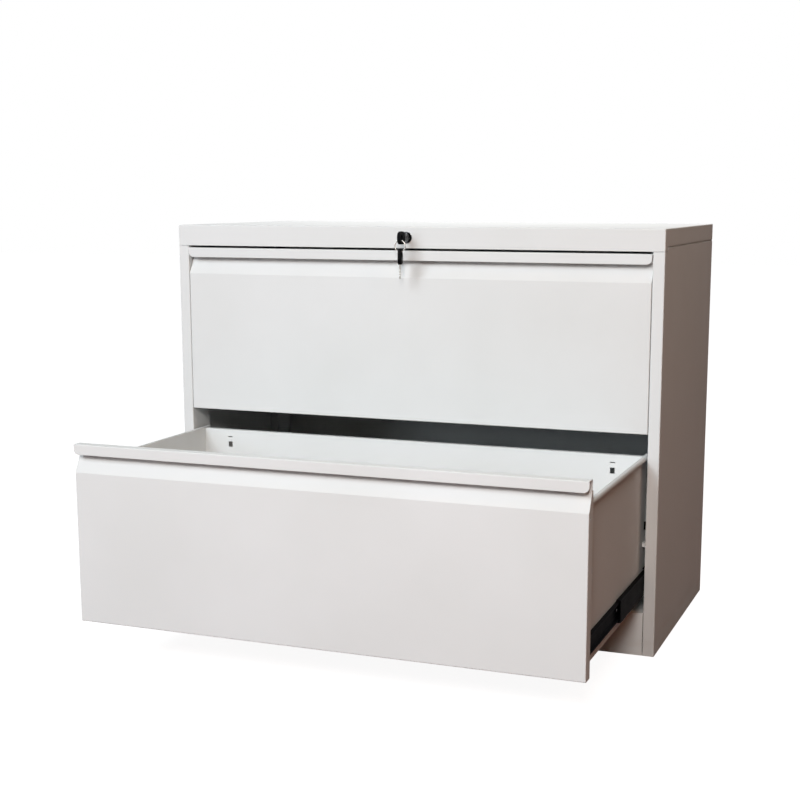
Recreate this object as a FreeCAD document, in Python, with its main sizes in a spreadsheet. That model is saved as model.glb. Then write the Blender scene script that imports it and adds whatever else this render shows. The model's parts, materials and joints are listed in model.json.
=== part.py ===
import FreeCAD, Part
import math
import operator
import os
from collections import namedtuple

import Sketcher
from FreeCAD import Rotation, Vector

# A two-drawer lateral filing cabinet of folded sheet steel, standing as it is used: the upper drawer
# closed and the lower one pulled out. X runs across the front, Y into the cabinet and Z up. The origin
# is on the floor, in the middle of the width, in the plane of the front.

# Driving sizes in millimetres: the name of each cell, its number and what it measures.
SIZES = (
    ("cabinet_width", 900, "outside, across the side panels"),
    ("cabinet_depth", 450, "outside, front plane to rear plane"),
    ("cabinet_height", 720, "floor to top"),
    ("shell_sheet", 1.0, "sheet of the carcass"),
    ("shell_bend", 1.8, "outer radius of the carcass folds"),
    ("butt_seam", 0.5, "seam where two panels butt"),
    ("top_lip_front", 37, "height of the top panel's front lip"),
    ("top_lip_side", 29, "height of its side and rear lips"),
    ("top_wrap", 22, "length of the front lip turned round each corner"),
    ("top_seam", 2.5, "open seam under a side lip"),
    ("top_return", 14, "inward flange under the front lip"),
    ("tongue_inset", 2, "side panel's tongue, from its outer face"),
    ("stile_width", 20, "side panel's front flange"),
    ("stile_return", 15, "depth of the fold behind the stile"),
    ("rear_flange", 15, "side panel's rear flange"),
    ("foot_flange", 20, "side panel's flange on the floor"),
    ("plinth_height", 75, "floor to plinth top"),
    ("plinth_return", 28, "plinth's top flange, from the front plane"),
    ("plinth_foot", 15, "plinth's flange on the floor, from the front plane"),
    ("floor_pan_flange", 18, "bottom panel's downward flanges"),
    ("upright_depth", 17, "upright channel, side panel to slide"),
    ("upright_width", 50, "upright channel, front to back"),
    ("upright_inset", 20, "right and rear uprights from the slide's nearer end"),
    ("reveal_top", 4, "gap over the upper drawer"),
    ("reveal_between", 6, "gap between the drawers"),
    ("reveal_plinth", 3, "gap under the lower drawer"),
    ("reveal_side", 1, "gap beside a drawer front"),
    ("lower_opening", 385, "how far the lower drawer stands open"),
    ("drawer_sheet", 0.8, "sheet of the drawers"),
    ("drawer_bend", 1.5, "outer radius of the drawer folds"),
    ("front_depth", 22, "depth of the folded drawer front"),
    ("front_flange", 25, "inward flanges behind the drawer front"),
    ("flange_top_gap", 3, "room above the side flanges"),
    ("lip_height", 17, "handle lip"),
    ("lip_proud", 2, "handle lip in front of the face"),
    ("lip_corner", 9, "radius of the lip's lower corners"),
    ("grip_depth", 16, "finger space behind the face"),
    ("slant_rise", 30, "height of the sloping band under the lip"),
    ("drain_radius", 2.5, "paint drain hole in the front's end"),
    ("drain_setback", 8, "drain hole behind the face"),
    ("drain_drop", 8, "drain hole below the sloping band"),
    ("box_rise", 13, "drawer box's underside above the front's lower edge"),
    ("box_side_drop", 33, "top of the box sides below the front's upper edge"),
    ("back_drop", 2.5, "top of the box back below the sides' top"),
    ("side_tail", 20, "box sides beyond the back"),
    ("box_rear_room", 40, "box back to the cabinet's rear plane, closed"),
    ("hem_width", 7.5, "hem folded outward along the top of a box side"),
    ("hem_drop", 6, "height of the hem's outer leg"),
    ("hem_bend", 4, "outer radius of the hem's outer fold"),
    ("back_flange", 9, "flange along the top of the box back"),
    ("back_slot_width", 8, "slot in the box back"),
    ("back_slot_height", 10, "slot in the box back"),
    ("back_slot_inset", 53, "slot centre from the box side"),
    ("back_slot_drop", 27.5, "slot centre below the back's top"),
    ("back_slit_width", 9, "slit over the slot"),
    ("back_slit_height", 1.6, "slit over the slot"),
    ("back_slit_rise", 14, "slit above the slot's centre"),
    ("slide_rise", 46, "slide centre line above the front's lower edge"),
    ("slide_setback", 25, "front plane to the closed slide"),
    ("slide_rear_room", 25, "closed slide to the cabinet's rear plane"),
    ("slide_thickness", 12.7, "whole slide"),
    ("slide_height", 45, "outer member"),
    ("slide_wall", 1.3, "strip of the slide members"),
    ("slide_lip_gap", 2, "drawer side to the outer and middle lips"),
    ("slide_tab_depth", 3, "hooked tab behind the outer member"),
    ("slide_tab_width", 8, "hooked tab"),
    ("slide_tab_height", 14, "hooked tab"),
    ("slide_tab_play", 0.4, "room round the tab in its slot"),
    ("ball", 2.5, "diameter of a bearing ball"),
    ("ball_play", 0.1, "running gap over and under a ball"),
    ("ball_pitch", 50, "along a row"),
    ("cage_wall", 0.7, "strip of the ball cage"),
    ("cage_play", 0.45, "gap on each face of the cage's web"),
    ("cage_hole_play", 0.15, "gap round a ball in its cage"),
    ("cage_lip", 1, "cage strip's edge behind the slide lips"),
    ("cage_length", 180, "ball cage"),
    ("rivet_shank", 2, "radius of a rivet or screw shank"),
    ("rivet_head", 3.5, "radius of its head"),
    ("rivet_head_rise", 1.2, "height of its head"),
    ("rivet_tail", 3, "radius of its formed tail"),
    ("rivet_end_room", 24, "end of an inner slide member to its last rivet"),
    ("hole_play", 0.05, "gap round a shank"),
    ("front_screw_inset", 7, "screw from the box side"),
    ("front_screw_low", 34, "lower screws above the front's lower edge"),
    ("front_screw_drop", 40, "upper screws below the handle lip"),
    ("lug_length", 5, "locking lug, out from the drawer side"),
    ("lug_size", 8, "locking lug, front to back and in height"),
    ("lug_setback", 36, "drawer face to the lug"),
    ("lug_rise", 152, "lug above the front's lower edge"),
    ("bezel_radius", 10, "lock face"),
    ("bezel_proud", 2, "lock face in front of the lip"),
    ("barrel_radius", 9.2, "lock body"),
    ("barrel_length", 20, "lock body behind the front plane"),
    ("barrel_play", 0.2, "lock body in its hole"),
    ("nut_radius", 14, "lock nut, across its corners, halved"),
    ("nut_thickness", 4, "lock nut"),
    ("plug_radius", 6, "turning plug"),
    ("plug_play", 0.1, "plug in its bore"),
    ("plug_proud", 1.2, "plug in front of the lip"),
    ("plug_shoulder", 0.5, "plug behind the lock body"),
    ("plug_square", 7, "square end that carries the cam"),
    ("key_play", 0.15, "key blade in its slot, and cam on its square"),
    ("cam_plate", 2, "cam, rod, crank and bar"),
    ("cam_boss", 7, "radius of the cam round the plug"),
    ("cam_screw_shank", 1.5, "radius"),
    ("cam_screw_head", 3.5, "radius"),
    ("cam_screw_rise", 1.5, "head height"),
    ("cam_screw_length", 9, "into the plug"),
    ("link_arm", 13, "cam and crank arms, pivot to pin"),
    ("link_pin", 2, "radius of the link pins"),
    ("link_eye", 4, "radius of a link plate round a pin"),
    ("slot_play", 0.8, "room beside a pin in its slot"),
    ("slot_end", 0.4, "room at the ends of a slot"),
    ("slot_margin", 1.6, "plate beyond a slot"),
    ("rod_gap", 2, "cam to rod"),
    ("link_gap", 1, "rod to crank, and crank to bar"),
    ("pin_reach", 0.7, "pin beyond the plate it drives"),
    ("crank_room", 20, "crank pivot to the side panel"),
    ("stud_radius", 3, "crank pivot stud"),
    ("stud_play", 0.05, "crank on its stud"),
    ("stud_shoulder", 4.5, "radius of the stud behind the crank"),
    ("stud_head", 4, "radius of the stud's head"),
    ("stud_head_rise", 0.9, "stud's head"),
    ("stud_slack", 0.1, "crank between head and shoulder"),
    ("stud_foot", 7, "stud's foot plate, from the pivot to its near edges"),
    ("stud_foot_plate", 2, "foot plate on the upright"),
    ("stud_foot_gap", 3, "foot plate to the side panel"),
    ("catch_reach", 1.5, "drawer side to a catch's tip"),
    ("catch_gap", 3, "catch under the lug when unlocked"),
    ("catch_height", 14, "catch on the bar"),
    ("guide_rise", 106, "bar guide above the front's lower edge"),
    ("guide_height", 7, "bar guide"),
    ("guide_nose", 0.8, "drawer side to the guide's tip"),
    ("guide_wall", 2, "guide round the bar or the rod"),
    ("guide_front", 6, "guide's nose in front of the bar"),
    ("guide_play", 0.2, "bar and rod in their guides"),
    ("bar_tail", 20, "bar below its lowest guide"),
    ("rod_guide_width", 10, "rod guide"),
    ("key_gap", 13, "key head in front of the lip"),
    ("key_head_length", 25, "key head"),
    ("key_head_width", 22, "key head"),
    ("key_head_thickness", 6, "key head"),
    ("key_head_corner", 9, "radius of its corners"),
    ("key_head_edge", 1.2, "radius of its rim"),
    ("key_eye", 5.5, "radius of the ring hole, wide enough for the ring to hang clear of the turned head"),
    ("key_eye_inset", 8, "middle of the ring hole from the head's end"),
    ("key_tang", 8, "blade inside the head"),
    ("key_blade_length", 24, "blade in front of its tang"),
    ("key_blade_width", 8, "blade"),
    ("key_blade_thickness", 2, "blade"),
    ("key_cut_pitch", 4, "cuts along the blade"),
    ("key_cut_depth", 1.1, "cuts along the blade"),
)
BALLS_PER_ROW = 4
KEY_CUTS = 3
RIVETS_PER_SLIDE = 3
PLACE_TOLERANCE = 0.01
ORIGIN_PLANES = {"xy": ("XY_Plane", 1), "xz": ("XZ_Plane", -1), "yz": ("YZ_Plane", 1)}
AXIS_TURNS = {
    "x": Rotation(Vector(0, 1, 0), 90),
    "y": Rotation(Vector(1, 0, 0), -90),
    "z": Rotation(),
}
OPERATIONS = {"+": operator.add, "-": operator.sub, "*": operator.mul, "/": operator.truediv}

Side = namedtuple("Side", "name sign")
Drawer = namedtuple("Drawer", "name bottom shift")
Round = namedtuple("Round", "across up radius")
SIDES = (Side("left", -1), Side("right", 1))

doc = FreeCAD.newDocument("filing_cabinet")
sheet = doc.addObject("Spreadsheet::Sheet", "sizes")
parts = {}


class Size:
    """A length that knows its number and the sheet formula that gives it."""

    def __init__(self, number, formula):
        self.number = number
        self.formula = formula

    def __add__(self, other):
        return combine(self, "+", other)

    def __radd__(self, other):
        return combine(other, "+", self)

    def __sub__(self, other):
        return combine(self, "-", other)

    def __rsub__(self, other):
        return combine(other, "-", self)

    def __mul__(self, other):
        return combine(self, "*", other)

    def __rmul__(self, other):
        return combine(other, "*", self)

    def __truediv__(self, other):
        return combine(self, "/", other)

    def __neg__(self):
        return combine(0, "-", self)


def as_size(value):
    """A plain number as a size of its own."""
    return value if isinstance(value, Size) else Size(float(value), f"({float(value)})")


def combine(left, sign, right):
    """Two sizes joined by one operation, in number and in formula."""
    left = as_size(left)
    right = as_size(right)
    return Size(OPERATIONS[sign](left.number, right.number), f"({left.formula} {sign} {right.formula})")


def root(size):
    """The square root of a size."""
    return Size(math.sqrt(size.number), f"sqrt({size.formula})")


def fill_sheet():
    """Writes the driving sizes to the sheet and gives them back by name."""
    for row, (alias, number, note) in enumerate(SIZES, 1):
        sheet.set(f"A{row}", note)
        sheet.set(f"B{row}", str(number))
        sheet.setAlias(f"B{row}", alias)
    doc.recompute()
    return {alias: Size(float(sheet.get(alias)), f"sizes.{alias}") for alias, _, _ in SIZES}


def bind(thing, field, value):
    """Ties one field of an object to a formula of the sheet."""
    thing.setExpression(field, as_size(value).formula)


def keep(label, thing):
    """Names a finished piece and puts it on the list of parts."""
    thing.Label = label
    parts[label] = thing
    return thing


def block(x, y, z):
    """A box between two places on each axis."""
    box = doc.addObject("Part::Box", "block")
    for field, axis, (low, high) in (("Length", "x", x), ("Width", "y", y), ("Height", "z", z)):
        bind(box, field, high - low)
        bind(box, f"Placement.Base.{axis}", low)
    return box


def cylinder(axis, start, end, place, radius):
    """A round bar along one axis, from start to end; place holds its centre on the other two axes."""
    bar = doc.addObject("Part::Cylinder", "round")
    bar.Placement = FreeCAD.Placement(Vector(), AXIS_TURNS[axis])
    bind(bar, "Radius", radius)
    bind(bar, "Height", end - start)
    others = [name for name in "xyz" if name != axis]
    for name, value in zip([axis] + others, (start,) + tuple(place)):
        bind(bar, f"Placement.Base.{name}", value)
    return bar


def fuse(*pieces):
    """One solid from several that touch."""
    joined = doc.addObject("Part::MultiFuse", "joined")
    joined.Shapes = list(pieces)
    joined.Refine = True
    return joined


def cut(base, *tools):
    """A solid with others taken away."""
    for tool in tools:
        remainder = doc.addObject("Part::Cut", "remainder")
        remainder.Base = base
        remainder.Tool = tool
        base = remainder
    return base


def group(pieces):
    """Separate solids kept together."""
    together = doc.addObject("Part::Compound", "together")
    together.Links = list(pieces)
    return together


def rectangle(across, up):
    """The corners of a rectangle between two places each way."""
    return [(across[0], up[0]), (across[1], up[0]), (across[1], up[1]), (across[0], up[1])]


def mirrored(side, corners):
    """An outline on the given side: drawn for the right, turned over for the left."""
    return [(across * side.sign, up) for across, up in corners]


def spread(side, inner, outer):
    """A span of X on the given side, low end first."""
    return (inner, outer) if side.sign > 0 else (-outer, -inner)


def add_polygon(sketch, corners):
    """Draws a closed outline whose every corner is tied to the sheet."""
    first = sketch.GeometryCount
    spots = [Vector(as_size(across).number, as_size(up).number, 0) for across, up in corners]
    count = len(spots)
    for index, spot in enumerate(spots):
        sketch.addGeometry(Part.LineSegment(spot, spots[(index + 1) % count]), False)
    for index in range(count):
        following = first + (index + 1) % count
        sketch.addConstraint(Sketcher.Constraint("Coincident", first + index, 2, following, 1))
    for index, (across, up) in enumerate(corners):
        tie_point(sketch, first + index, 1, across, up)


def add_circle(sketch, circle):
    """Draws a circle whose centre and radius are tied to the sheet."""
    index = sketch.GeometryCount
    centre = Vector(as_size(circle.across).number, as_size(circle.up).number, 0)
    radius = as_size(circle.radius)
    sketch.addGeometry(Part.Circle(centre, Vector(0, 0, 1), radius.number), False)
    tie_point(sketch, index, 3, circle.across, circle.up)
    rule = sketch.addConstraint(Sketcher.Constraint("Radius", index, radius.number))
    bind(sketch, f"Constraints[{rule}]", radius)


def tie_point(sketch, index, end, across, up):
    """Ties one point of a sketch to its place."""
    for kind, value in (("DistanceX", as_size(across)), ("DistanceY", as_size(up))):
        rule = sketch.addConstraint(Sketcher.Constraint(kind, -1, 1, index, end, value.number))
        bind(sketch, f"Constraints[{rule}]", value)


def draw(body, plane, loops, offset):
    """A sketch on one of the body's own planes, moved along that plane's normal."""
    role = ORIGIN_PLANES[plane][0]
    support = next(item for item in body.Origin.OriginFeatures if item.Role == role)
    sketch = body.newObject("Sketcher::SketchObject", "outline")
    sketch.AttachmentSupport = [(support, "")]
    sketch.MapMode = "FlatFace"
    bind(sketch, "AttachmentOffset.Base.z", offset)
    for loop in loops:
        if isinstance(loop, Round):
            add_circle(sketch, loop)
        else:
            add_polygon(sketch, loop)
    return sketch


def new_body(label):
    """An empty body for one piece."""
    return keep(label, doc.addObject("PartDesign::Body", label))


def pad(body, plane, loops, start, end):
    """Adds the outlines to the body, from start to end along the axis square to the plane."""
    along = ORIGIN_PLANES[plane][1] > 0
    feature_sketch = draw(body, plane, loops, start if along else -end)
    feature = body.newObject("PartDesign::Pad", "pad")
    feature.Profile = feature_sketch
    bind(feature, "Length", end - start)
    body.Tip = feature


def pocket(body, plane, loops, start, end):
    """Takes the outlines out of the body, from start to end along the axis square to the plane."""
    along = ORIGIN_PLANES[plane][1] > 0
    feature_sketch = draw(body, plane, loops, end if along else -start)
    feature = body.newObject("PartDesign::Pocket", "pocket")
    feature.Profile = feature_sketch
    bind(feature, "Length", end - start)
    body.Tip = feature


def lies_at(edge, **places):
    """Whether an edge keeps to the given places along its whole length."""
    box = edge.BoundBox
    spans = {"x": (box.XMin, box.XMax), "y": (box.YMin, box.YMax), "z": (box.ZMin, box.ZMax)}
    return all(
        abs(limit - as_size(place).number) < PLACE_TOLERANCE
        for axis, place in places.items()
        for limit in spans[axis]
    )


def round_edges(body, radius, *edge_places):
    """Rounds every edge of the body that keeps to one of the given sets of places."""
    doc.recompute()
    base = body.Tip
    names = [
        f"Edge{number}"
        for number, edge in enumerate(base.Shape.Edges, 1)
        if any(lies_at(edge, **places) for places in edge_places)
    ]
    if not names:
        raise RuntimeError(f"no edge of {body.Label} lies where it is to be rounded")
    feature = body.newObject("PartDesign::Fillet", "rounding")
    feature.Base = (base, names)
    bind(feature, "Radius", radius)
    body.Tip = feature


size = fill_sheet()
ZERO = Size(0.0, "(0.0)")

# Places across the width, from the middle to the right
half = size["cabinet_width"] / 2
shell = size["shell_sheet"]
web_inside = half - shell
stile_edge = half - size["stile_width"]
slide_face = web_inside - size["upright_depth"]
box_half = slide_face - size["slide_thickness"]
front_half = stile_edge - size["reveal_side"]
plinth_half = stile_edge - size["butt_seam"]

# Places from the front plane to the rear
depth = size["cabinet_depth"]
slide_start = size["slide_setback"]
slide_end = depth - size["slide_rear_room"]
slide_middle = (slide_start + slide_end) / 2
left_upright = size["stile_return"] + size["butt_seam"]
right_upright = slide_start + size["upright_inset"]
rear_upright = slide_end - size["upright_inset"] - size["upright_width"]
box_depth = depth - size["box_rear_room"]
wrap_end = size["top_wrap"] + size["top_seam"]

# Places from the floor up
height = size["cabinet_height"]
under_top = height - shell
lip_bottom = height - size["top_lip_front"]
stile_top = lip_bottom - size["butt_seam"]
side_top = height - size["top_lip_side"] - size["top_seam"]
pan_top = size["plinth_height"] - shell
front_stack = lip_bottom - size["reveal_top"] - size["reveal_between"]
front_height = (front_stack - size["reveal_plinth"] - size["plinth_height"]) / 2
lower_bottom = size["plinth_height"] + size["reveal_plinth"]
upper_bottom = lip_bottom - size["reveal_top"] - front_height
lock_height = height - size["top_lip_front"] / 2

UPPER = Drawer("upper", upper_bottom, ZERO)
LOWER = Drawer("lower", lower_bottom, -size["lower_opening"])
DRAWERS = (UPPER, LOWER)

# The slide's sections, one inside the other
slide_wall = size["slide_wall"]
ball_room = size["ball"] + size["ball_play"] * 2
cage_room = size["cage_wall"] + size["cage_play"] * 2
lip_end = box_half + size["slide_lip_gap"]
outer_half = size["slide_height"] / 2
middle_half = outer_half - slide_wall - ball_room
inner_half = middle_half - slide_wall - ball_room
outer_row = outer_half - slide_wall - ball_room / 2
inner_row = middle_half - slide_wall - ball_room / 2
middle_face = slide_face - slide_wall - cage_room
inner_end = middle_face - slide_wall - cage_room

# The lock linkage, layer behind layer
cam_front = size["barrel_length"] + size["plug_shoulder"]
cam_back = cam_front + size["cam_plate"]
rod_front = cam_back + size["rod_gap"]
rod_back = rod_front + size["cam_plate"]
crank_front = rod_back + size["link_gap"]
crank_back = crank_front + size["cam_plate"]
bar_front = crank_back + size["link_gap"]
bar_back = bar_front + size["cam_plate"]
link_arm = size["link_arm"]
link_lean = link_arm / root(Size(2.0, "(2.0)"))
pin_room = size["link_pin"] + size["slot_end"]
crank_x = web_inside - size["crank_room"]
crank_z = lock_height - link_arm - link_lean
slot_low = lock_height - link_arm - pin_room
slot_high = lock_height - link_lean + pin_room
rod_low = slot_low - size["slot_margin"]
rod_high = slot_high + size["slot_margin"]
bar_left = crank_x + link_lean - pin_room - size["slot_margin"]
bar_right = crank_x + link_arm + pin_room + size["slot_margin"]
bar_pin_z = crank_z - link_lean


def build_top_panel():
    """The lid: a tray whose front lip is deeper and turns a short way round each corner."""
    body = new_body("top_panel")
    tray_bottom = height - size["top_lip_side"]
    outside = rectangle((-half, half), (ZERO, depth))
    inside = rectangle((-web_inside, web_inside), (shell, depth - shell))
    pad(body, "xy", [outside], under_top, height)
    pad(body, "xy", [outside, inside], tray_bottom, under_top)
    apron = [
        (-half, ZERO),
        (half, ZERO),
        (half, size["top_wrap"]),
        (web_inside, size["top_wrap"]),
        (web_inside, shell),
        (-web_inside, shell),
        (-web_inside, size["top_wrap"]),
        (-half, size["top_wrap"]),
    ]
    pad(body, "xy", [apron], lip_bottom, tray_bottom)
    ledge = rectangle((-web_inside, web_inside), (shell, size["top_return"]))
    pad(body, "xy", [ledge], lip_bottom, lip_bottom + shell)
    lock_hole = Round(ZERO, lock_height, size["barrel_radius"] + size["barrel_play"])
    pocket(body, "xz", [lock_hole], ZERO, shell)
    round_edges(
        body,
        size["shell_bend"],
        {"y": ZERO, "z": height},
        {"y": depth, "z": height},
        {"x": half, "z": height},
        {"x": -half, "z": height},
        {"x": half, "y": ZERO},
        {"x": -half, "y": ZERO},
        {"x": half, "y": depth},
        {"x": -half, "y": depth},
    )


def build_side_panel(side):
    """A side: web, front stile with its fold, rear flange, floor flange and the tongue under the lid."""
    body = new_body(f"{side.name}_side_panel")
    rear_edge = half - size["rear_flange"]
    rear_turn = [(half, depth), (rear_edge, depth), (rear_edge, depth - shell), (web_inside, depth - shell)]
    stile_turn = [
        (web_inside, shell),
        (stile_edge + shell, shell),
        (stile_edge + shell, size["stile_return"]),
        (stile_edge, size["stile_return"]),
        (stile_edge, ZERO),
        (half, ZERO),
    ]
    pad(body, "xy", [mirrored(side, rear_turn + stile_turn)], ZERO, stile_top)
    upper_web = rear_turn + [(web_inside, wrap_end), (half, wrap_end)]
    pad(body, "xy", [mirrored(side, upper_web)], stile_top, side_top)
    tongue_face = half - size["tongue_inset"]
    tongue_span = (wrap_end, depth - shell * 3)
    shelf = rectangle((tongue_face - shell, web_inside), tongue_span)
    pad(body, "xy", [mirrored(side, shelf)], side_top - shell, side_top)
    tongue = rectangle((tongue_face - shell, tongue_face), tongue_span)
    pad(body, "xy", [mirrored(side, tongue)], side_top, under_top)
    foot = rectangle((half - size["foot_flange"], web_inside), (size["stile_return"], depth - shell * 2))
    pad(body, "xy", [mirrored(side, foot)], ZERO, shell)
    round_edges(
        body,
        size["shell_bend"],
        {"x": half * side.sign, "y": ZERO},
        {"x": stile_edge * side.sign, "y": ZERO},
        {"x": half * side.sign, "y": depth},
    )


def build_back_panel():
    """The back: one sheet between the side panels, in front of their rear flanges."""
    body = new_body("back_panel")
    sheet_outline = rectangle((-web_inside, web_inside), (shell, under_top))
    pad(body, "xz", [sheet_outline], depth - shell * 2, depth - shell)


def build_bottom_panel():
    """The floor pan that the uprights stand on, with a flange turned down at each side."""
    body = new_body("bottom_panel")
    pan_span = (size["stile_return"] + size["butt_seam"], depth - shell * 2)
    pan_bottom = pan_top - shell
    pad(body, "xy", [rectangle((-web_inside, web_inside), pan_span)], pan_bottom, pan_top)
    for side in SIDES:
        flange = rectangle((web_inside - shell, web_inside), pan_span)
        pad(body, "xy", [mirrored(side, flange)], pan_bottom - size["floor_pan_flange"], pan_bottom)


def build_plinth():
    """The kick plate between the stiles, with a flange at its top and one on the floor."""
    body = new_body("plinth")
    top = size["plinth_height"]
    section = [
        (ZERO, ZERO),
        (size["plinth_foot"], ZERO),
        (size["plinth_foot"], shell),
        (shell, shell),
        (shell, pan_top),
        (size["plinth_return"], pan_top),
        (size["plinth_return"], top),
        (ZERO, top),
    ]
    pad(body, "yz", [section], -plinth_half, plinth_half)


def front_upright(side):
    """Where a front upright starts: the left one behind the stile, the right one behind the lock bar."""
    return right_upright if side.sign > 0 else left_upright


def build_upright(side, place, start):
    """A channel on the side panel that the slides hook into."""
    body = new_body(f"{place}_{side.name}_upright")
    end = start + size["upright_width"]
    section = [
        (slide_face, start),
        (web_inside, start),
        (web_inside, start + shell),
        (slide_face + shell, start + shell),
        (slide_face + shell, end - shell),
        (web_inside, end - shell),
        (web_inside, end),
        (slide_face, end),
    ]
    pad(body, "xy", [mirrored(side, section)], pan_top, side_top - shell)
    slots = [tab_outline(start, drawer, size["slide_tab_play"]) for drawer in DRAWERS]
    pocket(body, "yz", slots, *spread(side, slide_face, slide_face + shell))


def tab_outline(upright_start, drawer, play):
    """The outline of a slide's hooked tab in an upright, with room round it."""
    middle = upright_start + size["upright_width"] / 2
    centre = drawer.bottom + size["slide_rise"]
    half_width = size["slide_tab_width"] / 2 + play
    half_height = size["slide_tab_height"] / 2 + play
    return rectangle((middle - half_width, middle + half_width), (centre - half_height, centre + half_height))


def channel(side, centre, back, end, half_rise, wall):
    """A lying C section: its web starts at back, its two legs reach to end."""
    face = back - wall if end.number < back.number else back + wall
    return mirrored(
        side,
        [
            (back, centre - half_rise),
            (back, centre + half_rise),
            (end, centre + half_rise),
            (end, centre + half_rise - wall),
            (face, centre + half_rise - wall),
            (face, centre - half_rise + wall),
            (end, centre - half_rise + wall),
            (end, centre - half_rise),
        ],
    )


def build_slide(side, drawer):
    """A telescopic slide: outer, middle and inner members and the two ball cages between them."""
    name = f"{drawer.name}_{side.name}_slide"
    centre = drawer.bottom + size["slide_rise"]

    outer = new_body(f"{name}_outer")
    section = channel(side, centre, slide_face, lip_end, outer_half, slide_wall)
    pad(outer, "xz", [section], slide_start, slide_end)
    tabs = [tab_outline(start, drawer, ZERO) for start in (front_upright(side), rear_upright)]
    pad(outer, "yz", tabs, *spread(side, slide_face, slide_face + size["slide_tab_depth"]))

    middle = new_body(f"{name}_middle")
    middle_shift = drawer.shift / 2
    section = channel(side, centre, middle_face, lip_end, middle_half, slide_wall)
    pad(middle, "xz", [section], slide_start + middle_shift, slide_end + middle_shift)

    inner = new_body(f"{name}_inner")
    section = channel(side, centre, box_half, inner_end, inner_half, slide_wall)
    pad(inner, "xz", [section], slide_start + drawer.shift, slide_end + drawer.shift)
    holes = [Round(y, centre, size["rivet_shank"] + size["hole_play"]) for y in rivet_places(drawer)]
    pocket(inner, "yz", holes, *spread(side, box_half, box_half + slide_wall))

    outer_back = slide_face - slide_wall - size["cage_play"]
    outer_row_x = (lip_end + middle_face) / 2
    build_cage(f"{name}_outer_cage", side, centre, outer_back, outer_row, outer_row_x, drawer.shift / 4)
    inner_back = middle_face - slide_wall - size["cage_play"]
    inner_row_x = (lip_end + inner_end) / 2
    build_cage(f"{name}_inner_cage", side, centre, inner_back, inner_row, inner_row_x, drawer.shift * 3 / 4)


def build_cage(label, side, centre, back, row, row_x, shift):
    """A ball cage: a thin C strip with a row of balls in each leg."""
    start = slide_middle - size["cage_length"] / 2 + shift
    end = slide_middle + size["cage_length"] / 2 + shift
    strip_half = row + size["cage_wall"] / 2
    strip_body = doc.addObject("PartDesign::Body", "cage_strip")
    section = channel(side, centre, back, lip_end + size["cage_lip"], strip_half, size["cage_wall"])
    pad(strip_body, "xz", [section], start, end)
    ball_radius = size["ball"] / 2
    first = slide_middle + shift - size["ball_pitch"] * (BALLS_PER_ROW - 1) / 2
    row_places = [first + size["ball_pitch"] * index for index in range(BALLS_PER_ROW)]
    holes = [Round(row_x * side.sign, y, ball_radius + size["cage_hole_play"]) for y in row_places]
    pocket(strip_body, "xy", holes, centre - strip_half, centre + strip_half)
    balls = []
    for y in row_places:
        for z in (centre - row, centre + row):
            ball = doc.addObject("Part::Sphere", "ball")
            bind(ball, "Radius", ball_radius)
            for axis, value in zip("xyz", (row_x * side.sign, y, z)):
                bind(ball, f"Placement.Base.{axis}", value)
            balls.append(ball)
    keep(label, group([strip_body] + balls))


def rivet_places(drawer):
    """Where the rivets stand along a drawer's inner slide members."""
    first = slide_start + drawer.shift + size["rivet_end_room"]
    pitch = (slide_end - slide_start - size["rivet_end_room"] * 2) / (RIVETS_PER_SLIDE - 1)
    return [first + pitch * index for index in range(RIVETS_PER_SLIDE)]


def build_drawer_front(drawer):
    """The folded front: face, sloping band, finger space and handle lip, with flanges behind."""
    body = new_body(f"{drawer.name}_drawer_front")
    wall = size["drawer_sheet"]
    face = drawer.shift
    low = drawer.bottom
    top = low + front_height
    lip_low = top - size["lip_height"]
    fold = lip_low - size["slant_rise"]
    lip_face = face - size["lip_proud"]
    grip_wall = face + size["grip_depth"]
    pan_back = face + size["front_depth"]
    run = size["grip_depth"]
    rise = size["slant_rise"]
    turn = wall * (root(run * run + rise * rise) - rise) / run
    section = [
        (pan_back, low),
        (face, low),
        (face, fold),
        (grip_wall, lip_low),
        (grip_wall, top - wall),
        (lip_face + wall, top - wall),
        (lip_face + wall, lip_low),
        (lip_face, lip_low),
        (lip_face, top),
        (grip_wall + wall, top),
        (grip_wall + wall, lip_low - turn),
        (face + wall, fold - turn),
        (face + wall, low + wall),
        (pan_back, low + wall),
    ]
    pad(body, "yz", [section], -front_half, front_half)
    cheek = [(face, low), (face, fold), (grip_wall, lip_low), (pan_back, lip_low), (pan_back, low)]
    for side in SIDES:
        cheek_span = spread(side, front_half - wall, front_half)
        pad(body, "yz", [cheek], *cheek_span)
        drain = Round(face + size["drain_setback"], fold - size["drain_drop"], size["drain_radius"])
        pocket(body, "yz", [drain], *cheek_span)
    flange_edge = front_half - size["front_flange"]
    flange_top = lip_low - size["flange_top_gap"]
    flange_low = low + size["front_flange"]
    flanges = [
        (-front_half, low),
        (front_half, low),
        (front_half, flange_top),
        (flange_edge, flange_top),
        (flange_edge, flange_low),
        (-flange_edge, flange_low),
        (-flange_edge, flange_top),
        (-front_half, flange_top),
    ]
    pad(body, "xz", [flanges], pan_back - wall, pan_back)
    holes = [Round(x, z, size["rivet_shank"] + size["hole_play"]) for x, z in front_screw_places(drawer)]
    pocket(body, "xz", holes, pan_back - wall, pan_back)
    lip_ends = [{"x": front_half * side.sign, "z": lip_low} for side in SIDES]
    round_lip_corners(body, lip_ends, lip_face, wall)
    round_edges(
        body,
        size["drawer_bend"],
        {"y": face, "z": low},
        {"y": face, "z": fold},
        {"y": lip_face, "z": top},
        {"y": grip_wall + wall, "z": top},
        {"x": front_half, "y": face},
        {"x": -front_half, "y": face},
    )


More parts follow.
